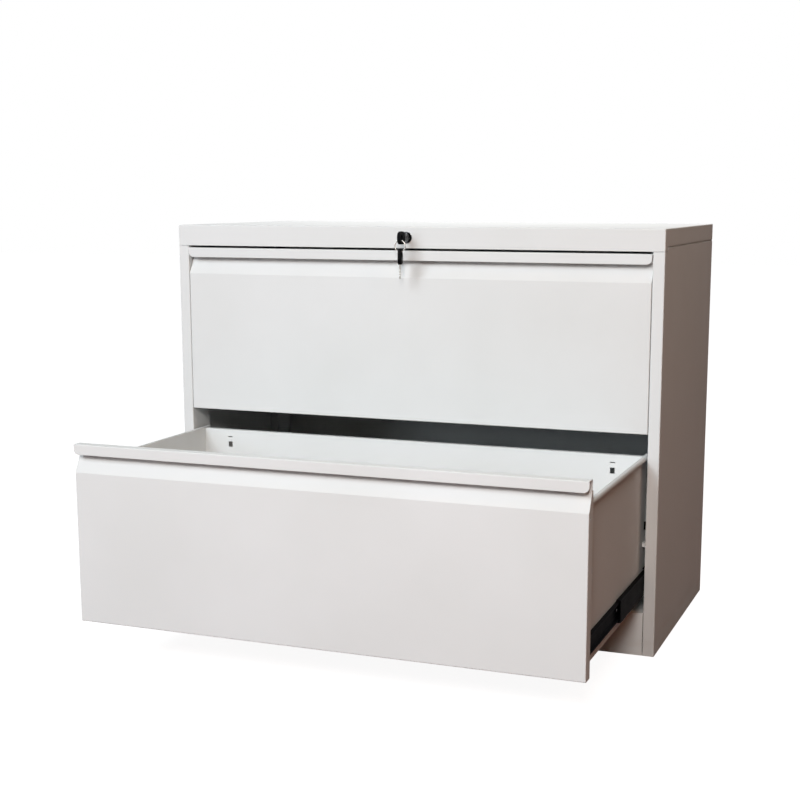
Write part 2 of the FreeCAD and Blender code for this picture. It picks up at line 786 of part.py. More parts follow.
def round_lip_corners(body, ends, lip_face, wall):
    """Rounds the two lower corners of the handle lip, which is one sheet thick there."""
    doc.recompute()
    base = body.Tip
    near = lip_face.number - PLACE_TOLERANCE
    far = (lip_face + wall).number + PLACE_TOLERANCE
    names = []
    for number, edge in enumerate(base.Shape.Edges, 1):
        in_lip = near < edge.BoundBox.YMin and edge.BoundBox.YMax < far
        if in_lip and any(lies_at(edge, **end) for end in ends):
            names.append(f"Edge{number}")
    feature = body.newObject("PartDesign::Fillet", "rounding")
    feature.Base = (base, names)
    bind(feature, "Radius", size["lip_corner"])
    body.Tip = feature


def front_screw_places(drawer):
    """Where the screws stand that hold a drawer front to its box, as pairs of X and Z."""
    across = box_half - size["drawer_sheet"] - size["front_screw_inset"]
    lip_low = front_height - size["lip_height"]
    rises = (size["front_screw_low"], lip_low - size["front_screw_drop"])
    return [(across * side.sign, drawer.bottom + rise) for side in SIDES for rise in rises]


def build_drawer_box(drawer):
    """The box behind the front: inner front, two hemmed sides, back and bottom, with its locking lug."""
    wall = size["drawer_sheet"]
    low = drawer.bottom + size["box_rise"]
    lip_low = drawer.bottom + front_height - size["lip_height"]
    pan_back = drawer.shift + size["front_depth"]
    box_front = pan_back + wall
    box_back = drawer.shift + box_depth
    side_inside = box_half - wall

    liner = new_body(f"{drawer.name}_drawer_inner_front")
    pad(liner, "xz", [rectangle((-box_half, box_half), (low, lip_low))], pan_back, box_front)
    ledge_start = drawer.shift + size["grip_depth"] + wall
    pad(liner, "xy", [rectangle((-box_half, box_half), (ledge_start, pan_back))], lip_low - wall, lip_low)
    holes = [Round(x, z, size["rivet_shank"] + size["hole_play"]) for x, z in front_screw_places(drawer)]
    pocket(liner, "xz", holes, pan_back, box_front)

    top = drawer.bottom + front_height - size["box_side_drop"]
    leg_bottom = top - size["hem_drop"]
    leg_face = box_half + size["hem_width"]
    section = [
        (side_inside, low),
        (box_half, low),
        (box_half, top - wall),
        (leg_face - wall, top - wall),
        (leg_face - wall, leg_bottom),
        (leg_face, leg_bottom),
        (leg_face, top),
        (side_inside, top),
    ]
    centre = drawer.bottom + size["slide_rise"]
    for side in SIDES:
        panel = new_body(f"{drawer.name}_drawer_{side.name}_side")
        pad(panel, "xz", [mirrored(side, section)], box_front, box_back + size["side_tail"])
        holes = [Round(y, centre, size["rivet_shank"] + size["hole_play"]) for y in rivet_places(drawer)]
        pocket(panel, "yz", holes, *spread(side, side_inside, box_half))
        round_edges(panel, size["drawer_bend"], {"x": side_inside * side.sign, "z": top})
        round_edges(panel, size["hem_bend"] - wall, {"x": (leg_face - wall) * side.sign, "z": top - wall})
        round_edges(panel, size["hem_bend"], {"x": leg_face * side.sign, "z": top})

    build_drawer_back(drawer, low, top - size["back_drop"], box_back)
    bottom = new_body(f"{drawer.name}_drawer_bottom")
    plate = rectangle((-side_inside, side_inside), (box_front, box_back - wall))
    pad(bottom, "xy", [plate], low, low + wall)

    lug_front = drawer.shift + size["lug_setback"]
    lug_low = drawer.bottom + size["lug_rise"]
    lug = block(
        (box_half, box_half + size["lug_length"]),
        (lug_front, lug_front + size["lug_size"]),
        (lug_low, lug_low + size["lug_size"]),
    )
    keep(f"{drawer.name}_drawer_lock_lug", lug)


def build_drawer_back(drawer, low, top, box_back):
    """The back of a drawer box, with a flange along its top and a slot and slit near each end."""
    wall = size["drawer_sheet"]
    side_inside = box_half - wall
    slot_z = top - size["back_slot_drop"]
    slit_z = slot_z + size["back_slit_rise"]
    openings = []
    for side in SIDES:
        slot_x = (side_inside - size["back_slot_inset"]) * side.sign
        openings.append(window(slot_x, slot_z, size["back_slot_width"], size["back_slot_height"]))
        openings.append(window(slot_x, slit_z, size["back_slit_width"], size["back_slit_height"]))
    back = new_body(f"{drawer.name}_drawer_back")
    outline = rectangle((-side_inside, side_inside), (low, top))
    pad(back, "xz", [outline] + openings, box_back - wall, box_back)
    flange = rectangle((-side_inside, side_inside), (box_back, box_back + size["back_flange"]))
    pad(back, "xy", [flange], top - wall, top)


def window(across, up, width, rise):
    """The corners of a rectangle about its centre."""
    return rectangle((across - width / 2, across + width / 2), (up - rise / 2, up + rise / 2))


def build_drawer_fasteners(drawer):
    """The rivets that hold the inner slide members and the screws that hold the drawer front."""
    wall = size["drawer_sheet"]
    centre = drawer.bottom + size["slide_rise"]
    inside = box_half - wall
    strip_face = box_half + slide_wall
    fasteners = []
    for side in SIDES:
        for y in rivet_places(drawer):
            fasteners.append(fastener("x", side, inside, strip_face, (y, centre)))
    box_front = drawer.shift + size["front_depth"] + wall
    flange_front = box_front - wall * 2
    for place in front_screw_places(drawer):
        fasteners.append(fastener("y", SIDES[0], -box_front, -flange_front, place))
    keep(f"{drawer.name}_drawer_fasteners", group(fasteners))


def fastener(axis, side, head_face, tail_face, place):
    """A headed pin through two sheets, from the face its head sits on to the face its tail is formed on."""
    stops = (head_face - size["rivet_head_rise"], head_face, tail_face, tail_face + size["rivet_head_rise"])
    radii = (size["rivet_head"], size["rivet_shank"], size["rivet_tail"])
    lengths = [spread(side, start, end) for start, end in zip(stops, stops[1:])]
    return fuse(*[cylinder(axis, start, end, place, radius) for (start, end), radius in zip(lengths, radii)])


def build_lock():
    """The lock in the top panel's lip: body, nut, plug, cam with its screw, and the key in the plug."""
    centre = (ZERO, lock_height)
    bore = size["plug_radius"] + size["plug_play"]
    barrel_end = size["barrel_length"]
    bezel = cylinder("y", -size["bezel_proud"], ZERO, centre, size["bezel_radius"])
    barrel = cylinder("y", ZERO, barrel_end, centre, size["barrel_radius"])
    bore_tool = cylinder("y", -size["bezel_proud"], barrel_end, centre, bore)
    keep("lock_body", cut(fuse(bezel, barrel), bore_tool))

    nut = doc.addObject("Part::Prism", "hexagon")
    nut.Polygon = 6
    nut.Placement = FreeCAD.Placement(Vector(), AXIS_TURNS["y"])
    bind(nut, "Circumradius", size["nut_radius"])
    bind(nut, "Height", size["nut_thickness"])
    bind(nut, "Placement.Base.y", shell)
    bind(nut, "Placement.Base.z", lock_height)
    nut_bore = size["barrel_radius"] + size["hole_play"]
    nut_tool = cylinder("y", shell, shell + size["nut_thickness"], centre, nut_bore)
    keep("lock_nut", cut(nut, nut_tool))

    plug_front = -size["plug_proud"]
    square = size["plug_square"] / 2
    square_span = (lock_height - square, lock_height + square)
    shaft = cylinder("y", plug_front, cam_front, centre, size["plug_radius"])
    stub = block((-square, square), (cam_front, cam_back), square_span)
    keyway_half = size["key_blade_thickness"] / 2 + size["key_play"]
    keyway_rise = size["key_blade_width"] / 2 + size["key_play"]
    keyway_end = size["key_blade_length"] - size["key_gap"] + size["key_play"]
    keyway_span = (lock_height - keyway_rise, lock_height + keyway_rise)
    keyway = block((-keyway_half, keyway_half), (plug_front, keyway_end), keyway_span)
    screw_tip = cam_back - size["cam_screw_length"]
    screw_bore = size["cam_screw_shank"] + size["hole_play"]
    tapped = cylinder("y", screw_tip, cam_back, centre, screw_bore)
    keep("lock_plug", cut(fuse(shaft, stub), keyway, tapped))

    screw_shank = cylinder("y", screw_tip, cam_back, centre, size["cam_screw_shank"])
    screw_end = cam_back + size["cam_screw_rise"]
    screw_head = cylinder("y", cam_back, screw_end, centre, size["cam_screw_head"])
    keep("cam_screw", fuse(screw_shank, screw_head))

    cam = new_body("lock_cam")
    pin_x = link_lean
    pin_z = lock_height - link_lean
    pad(cam, "xz", [Round(ZERO, lock_height, size["cam_boss"])], cam_front, cam_back)
    pad(cam, "xz", [leaning_arm(ZERO, lock_height, -1)], cam_front, cam_back)
    pad(cam, "xz", [Round(pin_x, pin_z, size["link_eye"])], cam_front, cam_back)
    pad(cam, "xz", [Round(pin_x, pin_z, size["link_pin"])], cam_back, rod_back + size["pin_reach"])
    hole = square + size["key_play"]
    hole_outline = rectangle((-hole, hole), (lock_height - hole, lock_height + hole))
    pocket(cam, "xz", [hole_outline], cam_front, cam_back)
    build_key()


def leaning_arm(pivot_x, pivot_z, slope):
    """An arm's outline from a pivot to its pin, leaning to the right at 45 degrees, up or down."""
    side_step = size["link_eye"] / root(Size(2.0, "(2.0)"))
    end_x = pivot_x + link_lean
    end_z = pivot_z + link_lean * slope
    return [
        (pivot_x - side_step, pivot_z + side_step * slope),
        (pivot_x + side_step, pivot_z - side_step * slope),
        (end_x + side_step, end_z - side_step * slope),
        (end_x - side_step, end_z + side_step * slope),
    ]


def build_key():
    """The key in the lock: a moulded head with a ring hole, and a cut blade."""
    head_back = -size["key_gap"]
    head_front = head_back - size["key_head_length"]
    half_width = size["key_head_width"] / 2
    low = lock_height - half_width
    high = lock_height + half_width
    half_thick = size["key_head_thickness"] / 2
    half_blade = size["key_blade_thickness"] / 2
    blade_rise = size["key_blade_width"] / 2
    tang_start = head_back - size["key_tang"]

    head = new_body("key_head")
    eye = Round(head_front + size["key_eye_inset"], lock_height, size["key_eye"])
    pad(head, "yz", [rectangle((head_front, head_back), (low, high))], -half_thick, half_thick)
    round_edges(
        head,
        size["key_head_corner"],
        {"y": head_front, "z": low},
        {"y": head_front, "z": high},
        {"y": head_back, "z": low},
        {"y": head_back, "z": high},
    )
    round_edges(head, size["key_head_edge"], {"x": half_thick}, {"x": -half_thick})
    pocket(head, "yz", [eye], -half_thick, half_thick)
    socket = rectangle((-half_blade, half_blade), (lock_height - blade_rise, lock_height + blade_rise))
    pocket(head, "xz", [socket], tang_start, head_back)

    blade = new_body("key_blade")
    tip = head_back + size["key_blade_length"]
    blade_low = lock_height - blade_rise
    blade_high = lock_height + blade_rise
    pitch = size["key_cut_pitch"]
    outline = [(tang_start, blade_high), (tang_start, blade_low), (tip - blade_rise, blade_low)]
    outline.append((tip, lock_height))
    outline.append((tip - blade_rise, blade_high))
    for number in range(KEY_CUTS):
        notch_end = tip - blade_rise - pitch * number - pitch / 4
        notch_depth = size["key_cut_depth"] * (1 + number % 2)
        outline.append((notch_end, blade_high))
        outline.append((notch_end - pitch / 3, blade_high - notch_depth))
        outline.append((notch_end - pitch * 2 / 3, blade_high))
    pad(blade, "yz", [outline], -half_blade, half_blade)


def build_lock_linkage():
    """What carries the lock's turn to the drawers: rod, bell crank on its stud, and the bar with catches."""
    slot_half = size["link_pin"] + size["slot_play"]
    slot_centres = (link_lean, crank_x + link_lean)
    rod_start = slot_centres[0] - slot_half - size["slot_margin"]
    rod_end = slot_centres[1] + slot_half + size["slot_margin"]
    rod = new_body("lock_rod")
    slots = [rectangle((x - slot_half, x + slot_half), (slot_low, slot_high)) for x in slot_centres]
    pad(rod, "xz", [rectangle((rod_start, rod_end), (rod_low, rod_high))] + slots, rod_front, rod_back)

    crank = new_body("bell_crank")
    pin_x = crank_x + link_lean
    pins = ((crank_z + link_lean, 1), (crank_z - link_lean, -1))
    pad(crank, "xz", [Round(crank_x, crank_z, size["cam_boss"])], crank_front, crank_back)
    for pin_z, slope in pins:
        pad(crank, "xz", [leaning_arm(crank_x, crank_z, slope)], crank_front, crank_back)
        pad(crank, "xz", [Round(pin_x, pin_z, size["link_eye"])], crank_front, crank_back)
    rod_pin = Round(pin_x, pins[0][0], size["link_pin"])
    bar_pin = Round(pin_x, pins[1][0], size["link_pin"])
    pad(crank, "xz", [rod_pin], rod_front - size["pin_reach"], crank_front)
    pad(crank, "xz", [bar_pin], crank_back, bar_back + size["pin_reach"])
    pivot = Round(crank_x, crank_z, size["stud_radius"] + size["stud_play"])
    pocket(crank, "xz", [pivot], crank_front, crank_back)

    place = (crank_x, crank_z)
    head_back = crank_front - size["stud_slack"]
    shoulder = crank_back + size["stud_slack"]
    foot_front = right_upright - size["stud_foot_plate"]
    foot = block(
        (crank_x - size["stud_foot"], web_inside - size["stud_foot_gap"]),
        (foot_front, right_upright),
        (crank_z - size["stud_foot"], crank_z + size["stud_foot"]),
    )
    stud = fuse(
        cylinder("y", head_back - size["stud_head_rise"], head_back, place, size["stud_head"]),
        cylinder("y", head_back, shoulder, place, size["stud_radius"]),
        cylinder("y", shoulder, foot_front, place, size["stud_shoulder"]),
        foot,
    )
    keep("crank_stud", stud)

    bar = new_body("lock_bar")
    bar_top = bar_pin_z + slot_half + size["slot_margin"]
    bar_bottom = lower_bottom + size["guide_rise"] - size["bar_tail"]
    slot = rectangle(
        (crank_x + link_lean - pin_room, crank_x + link_arm + pin_room),
        (bar_pin_z - slot_half, bar_pin_z + slot_half),
    )
    strip = rectangle((bar_left, bar_right), (bar_bottom, bar_top))
    pad(bar, "xz", [strip, slot], bar_front, bar_back)
    for drawer in DRAWERS:
        catch_top = drawer.bottom + size["lug_rise"] - size["catch_gap"]
        catch_span = (catch_top - size["catch_height"], catch_top)
        catch = rectangle((box_half + size["catch_reach"], bar_left), catch_span)
        pad(bar, "xz", [catch], bar_front, bar_back)
    build_link_guides()


def build_link_guides():
    """The white guides that hold the bar to the front upright and the hangers that hold the rod."""
    wall = size["guide_wall"]
    play = size["guide_play"]
    bar_room = ((bar_left - play, bar_right + play), (bar_front - play, bar_back + play))
    bar_guides = []
    for drawer in DRAWERS:
        low = drawer.bottom + size["guide_rise"]
        span = (low, low + size["guide_height"])
        outside = block(
            (box_half + size["guide_nose"], bar_right + play + wall / 2),
            (bar_front - size["guide_front"], right_upright),
            span,
        )
        bar_guides.append(cut(outside, block(*bar_room, span)))
    keep("bar_guides", group(bar_guides))

    rod_guides = []
    for share in (1 / 3, 2 / 3):
        middle = crank_x * share
        span = (middle - size["rod_guide_width"] / 2, middle + size["rod_guide_width"] / 2)
        outside = block(
            span,
            (rod_front - play - wall, rod_back + play + wall),
            (rod_low - play - wall, under_top),
        )
        room = block(span, (rod_front - play, rod_back + play), (rod_low - play, rod_high + play))
        rod_guides.append(cut(outside, room))
    keep("rod_guides", group(rod_guides))


def build_cabinet():
    """Builds every piece of the cabinet."""
    build_top_panel()
    for side in SIDES:
        build_side_panel(side)
        build_upright(side, "front", front_upright(side))
        build_upright(side, "rear", rear_upright)
    build_back_panel()
    build_bottom_panel()
    build_plinth()
    for drawer in DRAWERS:
        build_drawer_front(drawer)
        build_drawer_box(drawer)
        build_drawer_fasteners(drawer)
        for side in SIDES:
            build_slide(side, drawer)
    build_lock()
    build_lock_linkage()


def write_parts():
    """Checks every object and writes each piece to its own file."""
    doc.recompute()
    for thing in doc.Objects:
        if "Invalid" in thing.State or "Error" in thing.State:
            raise RuntimeError(f"{thing.Label} did not build: {thing.State}")
        if thing.TypeId == "PartDesign::Pocket" and thing.Shape.Volume >= thing.BaseFeature.Shape.Volume:
            raise RuntimeError(f"{thing.Label} takes nothing away")
    for label, thing in parts.items():
        if thing.Shape.isNull() or not thing.Shape.isValid() or not thing.Shape.Solids:
            raise RuntimeError(f"{label} has no valid shape")
    os.makedirs("parts", exist_ok=True)
    for label, thing in parts.items():
        thing.Shape.exportStep(f"parts/{label}.step")
        print(f"{label}: {len(thing.Shape.Solids)} solid(s), {thing.Shape.Volume:.0f} cubic mm")


build_cabinet()
write_parts()
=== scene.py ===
import json
import logging
import math
from dataclasses import dataclass
from enum import Enum, IntEnum
from typing import Callable, Sequence

import bpy
from bpy.types import Material, Node, NodeSocket, Object
from mathutils import Matrix, Vector


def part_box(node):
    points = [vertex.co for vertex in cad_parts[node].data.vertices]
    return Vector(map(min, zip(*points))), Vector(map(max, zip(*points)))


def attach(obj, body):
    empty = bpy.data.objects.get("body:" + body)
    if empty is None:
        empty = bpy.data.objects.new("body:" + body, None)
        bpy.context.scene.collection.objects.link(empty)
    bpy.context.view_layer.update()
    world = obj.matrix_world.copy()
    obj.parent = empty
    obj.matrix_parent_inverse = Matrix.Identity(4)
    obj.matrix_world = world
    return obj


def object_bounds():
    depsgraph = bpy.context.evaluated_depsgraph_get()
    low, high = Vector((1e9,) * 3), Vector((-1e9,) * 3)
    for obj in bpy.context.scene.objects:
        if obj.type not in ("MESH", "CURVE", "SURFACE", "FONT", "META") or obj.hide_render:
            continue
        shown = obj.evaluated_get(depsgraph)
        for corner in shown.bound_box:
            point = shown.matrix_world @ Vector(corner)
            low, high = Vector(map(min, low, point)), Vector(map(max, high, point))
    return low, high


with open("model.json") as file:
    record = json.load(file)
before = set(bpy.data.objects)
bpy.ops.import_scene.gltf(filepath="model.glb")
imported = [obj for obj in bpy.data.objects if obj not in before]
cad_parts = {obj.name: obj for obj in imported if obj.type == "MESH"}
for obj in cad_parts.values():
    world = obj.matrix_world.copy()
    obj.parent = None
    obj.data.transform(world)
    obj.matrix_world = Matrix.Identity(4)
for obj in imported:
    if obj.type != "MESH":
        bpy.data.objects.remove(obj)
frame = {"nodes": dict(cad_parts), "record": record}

CAD_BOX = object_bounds()
IMAGE_SIDE = 800
SENSOR_WIDTH = 36.0
# Rays that look for a folded edge, and the likeness of two normals at which it shows in full
FOLD_SAMPLES = 4
FOLD_LIKENESS = 0.75
# Turns between two faces past which a rim is rounded, and past which its shading stays sharp
RIM_ANGLE = math.radians(40.0)
SMOOTH_ANGLE = math.radians(35.0)

Colour = tuple[float, float, float]
Place = tuple[float, float, float]
Span = tuple[float, float]

log = logging.getLogger("filing_cabinet")


class Slot(Enum):
    """The record's material slots."""

    CARCASS_PAINT = "carcass_paint"
    DRAWER_PAINT = "drawer_paint"
    SLIDE_BLACK = "slide_black"
    BRIGHT_STEEL = "bright_steel"
    ZINC_STEEL = "zinc_steel"
    LOCK_CHROME = "lock_chrome"
    KEY_PLASTIC = "key_plastic"
    WHITE_PLASTIC = "white_plastic"


class MixSocket(IntEnum):
    """Where the mix node keeps its share, its two colours and the mixed colour."""

    SHARE = 0
    FIRST = 6
    SECOND = 7
    MIXED = 2


class Shading:
    """The node tree of one material, built around a principled shader."""

    def __init__(self, name: str) -> None:
        """Starts a material with a shader, an output and the piece's own coordinates.

        Args:
            name: the material's name.
        """
        self.material: Material = bpy.data.materials.new(name)
        self.material.use_nodes = True
        self.tree = self.material.node_tree
        self.tree.nodes.clear()
        self.shader = self.add("ShaderNodeBsdfPrincipled")
        self.output = self.add("ShaderNodeOutputMaterial")
        self.join(self.shader.outputs["BSDF"], self.output.inputs["Surface"])
        self.place = self.add("ShaderNodeTexCoord").outputs["Object"]

    def add(self, kind: str, **settings: object) -> Node:
        """Adds one node.

        Args:
            kind: the node's type name.
            settings: values of the node's own properties.

        Returns:
            The new node.
        """
        node = self.tree.nodes.new(kind)
        for field, value in settings.items():
            setattr(node, field, value)
        return node

    def join(self, source: NodeSocket, target: NodeSocket) -> None:
        """Links one socket to another."""
        self.tree.links.new(source, target)

    def set(self, **values: object) -> None:
        """Sets plain values on the shader's sockets.

        Args:
            values: socket names, with underscores for spaces, and their values.
        """
        for name, value in values.items():
            self.shader.inputs[name.replace("_", " ")].default_value = value

    def stretched(self, stretch: Place) -> NodeSocket:
        """The piece's coordinates, squeezed along each axis by the given shares.

        Args:
            stretch: the scale of the coordinates on X, Y and Z.

        Returns:
            The socket of the squeezed coordinates.
        """
        mapping = self.add("ShaderNodeMapping")
        mapping.inputs["Scale"].default_value = stretch
        self.join(self.place, mapping.inputs["Vector"])
        return mapping.outputs["Vector"]

    def noise(self, grain: float, detail: float = 2.0, stretch: Place | None = None) -> NodeSocket:
        """Soft noise with a grain of the given size.

        Args:
            grain: the size of one blotch, in metres.
            detail: how many finer layers lie on top.
            stretch: the scale of the coordinates on each axis, if they are not alike.

        Returns:
            The socket with values from 0 to 1.
        """
        node = self.add("ShaderNodeTexNoise")
        node.inputs["Scale"].default_value = 1.0 / grain
        node.inputs["Detail"].default_value = detail
        self.join(self.stretched(stretch) if stretch else self.place, node.inputs["Vector"])
        return node.outputs["Fac"]

    def cells(self, grain: float) -> NodeSocket:
        """Flat cells of the given size, each with a value of its own.

        Args:
            grain: the size of one cell, in metres.

        Returns:
            The socket with one value per cell.
        """
        node = self.add("ShaderNodeTexVoronoi")
        node.inputs["Scale"].default_value = 1.0 / grain
        self.join(self.place, node.inputs["Vector"])
        split = self.add("ShaderNodeSeparateColor")
        self.join(node.outputs["Color"], split.inputs["Color"])
        return split.outputs["Red"]

    def spread(self, value: NodeSocket, onto: Span = (0.0, 1.0), over: Span = (0.0, 1.0)) -> NodeSocket:
        """Maps one span of values onto another.

        Args:
            value: the socket to map.
            onto: what the two ends of the read span become.
            over: the span that is read.

        Returns:
            The socket of the mapped value.
        """
        node = self.add("ShaderNodeMapRange")
        node.inputs["From Min"].default_value, node.inputs["From Max"].default_value = over
        node.inputs["To Min"].default_value, node.inputs["To Max"].default_value = onto
        self.join(value, node.inputs["Value"])
        return node.outputs["Result"]

    def times(self, first: NodeSocket, second: NodeSocket) -> NodeSocket:
        """The product of two values.

        Args:
            first: one value.
            second: the other value.

        Returns:
            The socket of the product.
        """
        node = self.add("ShaderNodeMath", operation="MULTIPLY")
        self.join(first, node.inputs[0])
        self.join(second, node.inputs[1])
        return node.outputs["Value"]

    def height(self) -> NodeSocket:
        """How high a point of the piece lies above the floor.

        Returns:
            The socket of the height, in metres.
        """
        split = self.add("ShaderNodeSeparateXYZ")
        self.join(self.place, split.inputs["Vector"])
        return split.outputs["Z"]

    def blend(self, share: NodeSocket, first: Colour | NodeSocket, second: Colour) -> NodeSocket:
        """Goes from one colour to another.

        Args:
            share: how much of the second colour shows, from 0 to 1.
            first: a colour, or the socket of one.
            second: the other colour.

        Returns:
            The socket of the mixed colour.
        """
        node = self.add("ShaderNodeMix", data_type="RGBA")
        self.join(share, node.inputs[MixSocket.SHARE])
        if isinstance(first, NodeSocket):
            self.join(first, node.inputs[MixSocket.FIRST])
        else:
            node.inputs[MixSocket.FIRST].default_value = (*first, 1.0)
        node.inputs[MixSocket.SECOND].default_value = (*second, 1.0)
        return node.outputs[MixSocket.MIXED]

    def soft_edges(self, radius: float) -> tuple[NodeSocket, NodeSocket]:
        """Gives sharp edges the look of a fold and finds where they are.

        Args:
            radius: the radius of the fold, in metres.

        Returns:
            The socket of the rounded normal, and one that is 1 on an edge and 0 on a flat face.
        """
        fold = self.add("ShaderNodeBevel", samples=FOLD_SAMPLES)
        fold.inputs["Radius"].default_value = radius
        rounded = fold.outputs["Normal"]
        flat = self.add("ShaderNodeNewGeometry").outputs["Normal"]
        likeness = self.add("ShaderNodeVectorMath", operation="DOT_PRODUCT")
        self.join(rounded, likeness.inputs[0])
        self.join(flat, likeness.inputs[1])
        return rounded, self.spread(likeness.outputs["Value"], (1.0, 0.0), (FOLD_LIKENESS, 1.0))

    def raise_surface(
        self, height: NodeSocket, depth: float, strength: float, below: NodeSocket | None = None
    ) -> NodeSocket:
        """Adds a fine relief to the surface.

        Args:
            height: the relief, from 0 to 1.
            depth: its height, in metres.
            strength: how much of it shows.
            below: the normal that this relief lies on.

        Returns:
            The normal of the relief, which is the one that the shader reads.
        """
        node = self.add("ShaderNodeBump")
        node.inputs["Distance"].default_value = depth
        node.inputs["Strength"].default_value = strength
        self.join(height, node.inputs["Height"])
        if below is not None:
            self.join(below, node.inputs["Normal"])
        self.join(node.outputs["Normal"], self.shader.inputs["Normal"])
        return node.outputs["Normal"]

    def paint(self, colour: NodeSocket, roughness: NodeSocket) -> None:
        """Gives the shader its colour and roughness.

        Args:
            colour: the socket of the colour.
            roughness: the socket of the roughness.
        """
        self.join(colour, self.shader.inputs["Base Color"])
        self.join(roughness, self.shader.inputs["Roughness"])


@dataclass(frozen=True)
class PowderCoat:
    """Light grey powder coat on sheet steel: orange peel, soft clouds, folds worn lighter with a painted
    highlight, and scuff marks with painted warm shade near the floor.
    """

    name: str
    colour: Colour = (0.77, 0.775, 0.77)
    cloud_colour: Colour = (0.735, 0.74, 0.73)
    # Lighter colour on the folds: wear, and also a painted highlight along every fold.
    fold_wear_and_highlight_colour: Colour = (0.82, 0.82, 0.81)
    # Darker and browner in the lowest few centimetres: scuff marks, and also painted warm shade near the
    # floor.
    scuff_and_shade_colour: Colour = (0.58, 0.54, 0.5)
    roughness: Span = (0.6, 0.74)
    gloss: float = 0.14
    peel_grain: float = 0.0022
    peel_depth: float = 0.00005
    peel_strength: float = 0.6
    speck_grain: float = 0.0007
    speck_depth: float = 0.000015
    speck_strength: float = 0.4
    cloud_grain: float = 0.3
    cloud_span: Span = (0.35, 0.7)
    handling_grain: float = 0.05
    rub_share: Span = (0.3, 1.0)
    rub_span: Span = (0.4, 0.6)
    # Streaky noise and height of the scuff marks and the painted shade near the floor.
    scuff_and_shade_grain: float = 0.02
    scuff_and_shade_stretch: Place = (0.3, 0.3, 1.0)
    scuff_and_shade_span: Span = (0.45, 0.75)
    scuff_and_shade_height: float = 0.05
    scuff_and_shade_share: float = 0.5
    fold_radius: float = 0.0009

    def material(self) -> Material:
        """Builds the finish.

        Returns:
            The finish as a material.
        """
        shading = Shading(self.name)
        fold, edge = shading.soft_edges(self.fold_radius)
        clouds = shading.spread(shading.noise(self.cloud_grain, detail=3.0), over=self.cloud_span)
        coat = shading.blend(clouds, self.colour, self.cloud_colour)
        handling = shading.noise(self.handling_grain, detail=3.0)
        rubbed = shading.spread(handling, self.rub_share, self.rub_span)
        # Painted highlight and wear: the folds blend towards the lighter colour where the handling noise is
        # high.
        coat = shading.blend(shading.times(edge, rubbed), coat, self.fold_wear_and_highlight_colour)
        # Painted shade and scuff marks: streaky darkening that grows towards the floor.
        scuff_and_shade_noise = shading.noise(self.scuff_and_shade_grain, detail=4.0, stretch=self.scuff_and_shade_stretch)
        near_floor = shading.spread(shading.height(), (self.scuff_and_shade_share, 0.0), (0.0, self.scuff_and_shade_height))
        scuff_and_shade_mask = shading.times(near_floor, shading.spread(scuff_and_shade_noise, over=self.scuff_and_shade_span))
        shading.paint(
            shading.blend(scuff_and_shade_mask, coat, self.scuff_and_shade_colour),
            shading.spread(handling, self.roughness),
        )
        shading.set(Specular_IOR_Level=self.gloss)
        peel = shading.noise(self.peel_grain)
        specks = shading.noise(self.speck_grain, detail=1.0)
        peeled = shading.raise_surface(peel, self.peel_depth, self.peel_strength, fold)
        shading.raise_surface(specks, self.speck_depth, self.speck_strength, peeled)
        return shading.material


@dataclass(frozen=True)
class BlackElectrocoat:
    """Thin black coat on rolled slide members, greased and rubbed along their length."""

    name: str
    colour: Colour = (0.0015, 0.0015, 0.002)
    rubbed_colour: Colour = (0.008, 0.0085, 0.009)
    roughness: Span = (0.55, 0.75)
    gloss: float = 0.04
    rub_grain: float = 0.004
    rub_stretch: Place = (1.0, 0.03, 1.0)
    rub_span: Span = (0.5, 0.8)
    rub_depth: float = 0.00002
    rub_strength: float = 0.4
    grease_grain: float = 0.03
    roll_radius: float = 0.0005

    def material(self) -> Material:
        """Builds the finish.

        Returns:
            The finish as a material.
        """
        shading = Shading(self.name)
        rolled, edge = shading.soft_edges(self.roll_radius)
        streaks = shading.noise(self.rub_grain, detail=4.0, stretch=self.rub_stretch)
        rubbed = shading.spread(streaks, over=self.rub_span)
        coat = shading.blend(rubbed, self.colour, self.rubbed_colour)
        grease = shading.noise(self.grease_grain, detail=3.0)
        shading.paint(
            shading.blend(edge, coat, self.rubbed_colour),
            shading.spread(grease, self.roughness),
        )
        shading.set(Specular_IOR_Level=self.gloss)
        shading.raise_surface(streaks, self.rub_depth, self.rub_strength, rolled)
        return shading.material


@dataclass(frozen=True)
class PlatedSteel:
    """Bright plated steel: zinc with a faint crystal pattern, or drawn nickel with fine lines."""

    name: str
    colour: Colour
    dull_colour: Colour
    roughness: Span
    crystal_grain: float
    line_stretch: Place
    line_grain: float = 0.0008
    line_depth: float = 0.00001
    line_strength: float = 0.3

    def material(self) -> Material:
        """Builds the finish.

        Returns:
            The finish as a material.
        """
        shading = Shading(self.name)
        crystals = shading.cells(self.crystal_grain)
        lines = shading.noise(self.line_grain, detail=3.0, stretch=self.line_stretch)
        shading.paint(
            shading.blend(crystals, self.colour, self.dull_colour),
            shading.spread(lines, self.roughness),
        )
        shading.set(Metallic=1.0)
        shading.raise_surface(lines, self.line_depth, self.line_strength)
        return shading.material


